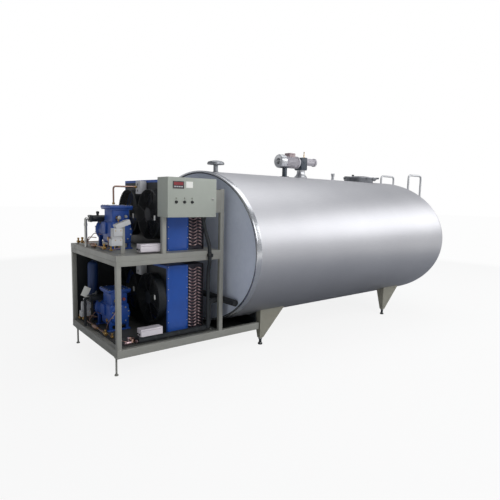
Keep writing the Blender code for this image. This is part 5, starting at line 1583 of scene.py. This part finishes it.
pin = [rod("pin", 0.0065, (HINGE, -0.066, PIN), (HINGE, 0.066, PIN), 16, 0.001),
       rod("knob", 0.014, (HINGE, -0.060, PIN), (HINGE, -0.076, PIN), 20, 0.003)]
done(weld("hinge_pin", [settle(p, PLACE) for p in pin]), "frame", SLATE)
low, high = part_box("manway_neck")
print("manway", [round(v, 3) for v in (high - low)])

# %% [markdown]
# ## Ladder and legs
# The ladder is bent from 32 mm stainless tube: two rails that start on the domed end,
# rise over it as hand loops and come down outside, with five rungs between. The frame's
# ladder is the same tube with fewer sides, so this one is drawn on the same line. Its
# rails meet the dome in small round plates.

# %% Ladder
NEAR_X, DEPTH, HALF_L, L_TOP, FOOT, RUNGS, RUNG_TOP = 0.43, 0.37, 0.262, 2.105, 0.5, 5, 1.72
low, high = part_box("ladder")
rail_r = high.x - at(LENGTH + NEAR_X) - DEPTH
inner, outer = at(LENGTH + NEAR_X), at(LENGTH + NEAR_X) + DEPTH
SHAPE = dished(HALF_H, 0.450, 0.150, 24)


def on_dome(y, z):
    share = math.hypot(y / HALF_W, (z - AXIS) / HALF_H) * HALF_H
    for (r0, h0), (r1, h1) in zip(SHAPE, SHAPE[1:]):
        if r1 <= share <= r0:
            return at(LENGTH) + h0 + (h1 - h0) * (r0 - share) / (r0 - r1)
    return at(LENGTH)


tubes, pads = [], []
for side in (-1, 1):
    y, hold, stay = side * HALF_L, AXIS + 0.33, FOOT + 0.12
    start = on_dome(y, hold) + 0.001
    tubes.append(tube("rail", [(start, y, hold), (inner, y, hold), (inner, y, L_TOP - rail_r),
                               (outer, y, L_TOP - rail_r), (outer, y, FOOT)], rail_r, 20,
                      0.060, 8))
    foot = on_dome(y, stay) + 0.001
    tubes.append(rod("stay", rail_r * 0.8, (foot, y, stay), (outer, y, stay), 18, 0))
    for x, z, r in ((start, hold, rail_r), (foot, stay, rail_r * 0.8)):
        pads.append(rod("pad", r * 1.6, (x + 0.001, y, z), (x + 0.006, y, z), 24, 0.001))
    pads.append(turned("plug", [(rail_r * 0.98, 0.0005), (rail_r * 0.98, 0.006),
                                (rail_r * 0.5, 0.0075)], (outer, y, FOOT - 0.0005), UP, 20))
for i in range(RUNGS):
    z = FOOT + 0.06 + (RUNG_TOP - 0.06 - FOOT) * i / (RUNGS - 1)
    tubes.append(rod("rung", 0.0125, (outer, -HALF_L, z), (outer, HALF_L, z), 18, 0))
done(weld("ladder_tubes", tubes), "frame", TUBE, ["ladder"], 50)
done(weld("ladder_pads", pads), "frame", BRUSHED_PART)
print("ladder", round(rail_r * 2000, 1), "mm tube")

# %% [markdown]
# Under the front end, two black rubber strips fill the gap between the rack's rear bar
# and the barrel; their black is painted shade for the shadow under the tank. Each is a
# block with the oval cut out of it. Each leg stands on a screw foot: a rubber boot, a
# stem, and a lock nut under the leg.

# %% Packing, leg nuts and feet
low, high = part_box("cross_low_rear")
SOFT = [(HALF_H + 0.0012, 0.02), (HALF_H + 0.0012, 1.20)]
strips = []
for side in (-1, 1):
    ys = sorted((side * 0.34, side * (max(abs(low.y), abs(high.y)) - 0.002)))
    strip = block("packing", (low.x + 0.003, ys[0], high.z - 0.004),
                  (high.x - 0.003, ys[1], high.z + 0.085), 0)
    strips.append(cut(strip, turned("oval", SOFT, (at(0), 0, AXIS), ALONG_X, 96, sweep=OVAL)))
# The strips are black as painted shade under the tank's front end.
done(weld("black_strips_painted_shade", strips), "frame", RUBBER)
FEET = [(at(x), side * 0.632) for x in (0.477, 2.817) for side in (-1, 1)]
nuts = []
for spot in FEET:
    nuts.append(rod("nut", 0.0235, (*spot, 0.062), (*spot, 0.079), 6, 0.0015))
    nuts.append(turned("boss", [(0.0245, 0.0161), (0.0200, 0.022), (0.0158, 0.024)],
                       (*spot, 0.0), sides=28))
done(weld("leg_nuts", nuts), "frame", STEEL)
boots = [turned("boot", [(0.0254, 0.0002), (0.0254, 0.0160), (0.0235, 0.0168),
                         (0.0200, 0.0170)], (*spot, 0.0), sides=28) for spot in FEET]
boots += [rod("stem", 0.0157, (*spot, 0.0235), (*spot, 0.0625), 20, 0) for spot in FEET]
done(weld("foot_boots", boots), "frame", BLACK_CAST)
print("leg nuts and rubber feet")

# %% [markdown]
# ## Floor, light and camera
# The floor is plain and pale. The largest soft light stands high off the domed end and
# is what the barrel shows as a bright band; a second lights the rack from the near side,
# and a third hangs over the tank. The sky is grey to what reflects it, a little darker
# towards the rack, and white to the camera. The floor too is whiter to the camera and
# darker in reflections, so that the underside of the tank reads as metal over ground.

# %% Stage
clear()
bpy.ops.mesh.primitive_plane_add(size=120, location=(0, 0, 0))
floor = bpy.context.object
floor.name = "studio_floor"
mat, tree, surface, place = finish("pale_studio_floor", Roughness=0.95)
surface.inputs["Specular IOR Level"].default_value = 0.0
grain = add(tree, "TexNoise", {"Vector": place, "Scale": 2.0, "Detail": 2.0})
pale = shades(tree, grain.outputs["Fac"], ["#f1f1f0", "#f5f5f4"])
ray = add(tree, "LightPath")
seen = add(tree, "Mix", {"Factor": ray.outputs["Is Glossy Ray"], "A": pale,
                         "B": linear("#a0a3a9")}, data_type="RGBA")
wire(tree, seen.outputs["Result"], surface.inputs["Base Color"])
far = add(tree, "VectorMath", {0: place}, operation="LENGTH").outputs["Value"]
fade = add(tree, "MapRange", {"Value": far, "From Min": 4.0, "From Max": 9.0},
           interpolation_type="SMOOTHSTEP")
white = add(tree, "Emission", {"Color": linear("#fdfdfd"), "Strength": 1.0})
bare = add(tree, "Math", {0: ray.outputs["Is Camera Ray"], 1: 0.88}, operation="MULTIPLY")
glow = add(tree, "Math", {0: fade.outputs["Result"], 1: bare.outputs["Value"]},
           operation="MAXIMUM")
mixed = add(tree, "MixShader", {0: glow.outputs["Value"], 1: surface.outputs["BSDF"],
                                2: white.outputs["Emission"]})
output = next(n for n in tree.nodes if n.bl_idname == "ShaderNodeOutputMaterial")
wire(tree, mixed.outputs["Shader"], output.inputs["Surface"])
floor.data.materials.append(mat)


def soft_light(name, spot, aim, size, watts, tint="#ffffff"):
    lamp = bpy.data.lights.new(name, "AREA")
    lamp.shape, lamp.size, lamp.size_y = "RECTANGLE", size[0], size[1]
    lamp.energy, lamp.color = watts, linear(tint)[:3]
    piece = bpy.data.objects.new(name, lamp)
    bpy.context.scene.collection.objects.link(piece)
    piece.location = spot
    piece.rotation_euler = (Vector(aim) - Vector(spot)).to_track_quat("-Z", "Y").to_euler()
    return piece


soft_light("key", (8.0, -5.5, 5.6), (0.3, 0, 1.3), (8.5, 5.0), 308)
soft_light("front", (-1.0, -8.0, 6.0), (-1.2, 0, 1.0), (6.0, 4.0), 285)
soft_light("top", (1.2, 0.5, 8.0), (1.0, 0, 1.0), (8.0, 5.0), 190)
world = bpy.data.worlds.new("studio")
bpy.context.scene.world = world
world.use_nodes = True
tree = world.node_tree
tree.nodes.clear()
sky = add(tree, "TexCoord").outputs["Generated"]
parts = add(tree, "SeparateXYZ", {"Vector": sky})
rise = parts.outputs["Z"]
grey = shades(tree, add(tree, "MapRange", {"Value": rise, "From Min": -0.15,
                                           "From Max": 0.8}).outputs["Result"],
              ["#8b8d91", "#a7a9ad", "#a4a6aa", "#989a9e"])
ray = add(tree, "LightPath")
view = add(tree, "Mix", {"Factor": ray.outputs["Is Camera Ray"], "A": grey,
                         "B": linear("#ffffff")}, data_type="RGBA")
side = add(tree, "MapRange", {"Value": parts.outputs["X"], "From Min": -1.0, "From Max": 0.2,
                              "To Min": 0.72, "To Max": 1.0}).outputs["Result"]
full = add(tree, "Math", {0: side, 1: ray.outputs["Is Camera Ray"]}, operation="MAXIMUM")
glow = add(tree, "Background", {"Color": view.outputs["Result"],
                                "Strength": full.outputs["Value"]})
add(tree, "OutputWorld", {"Surface": glow.outputs["Background"]})
print("floor, three soft lights and sky")

# %% Camera
eye = bpy.data.cameras.new("camera")
eye.lens, eye.sensor_width, eye.sensor_fit = 31.2145, 36.0, "HORIZONTAL"
eye.clip_end = 200
camera = bpy.data.objects.new("camera", eye)
bpy.context.scene.collection.objects.link(camera)
turn = Matrix(((0.781375, 0.054468, -0.621680), (-0.623635, 0.104953, -0.774638),
               (0.023054, 0.992984, 0.115976))).to_4x4()
camera.matrix_world = Matrix.Translation((-4.17159, -4.27868, 1.63411)) @ turn
bpy.context.scene.camera = camera
bpy.context.scene.view_settings.view_transform = "Standard"
clear()
bpy.context.view_layer.update()
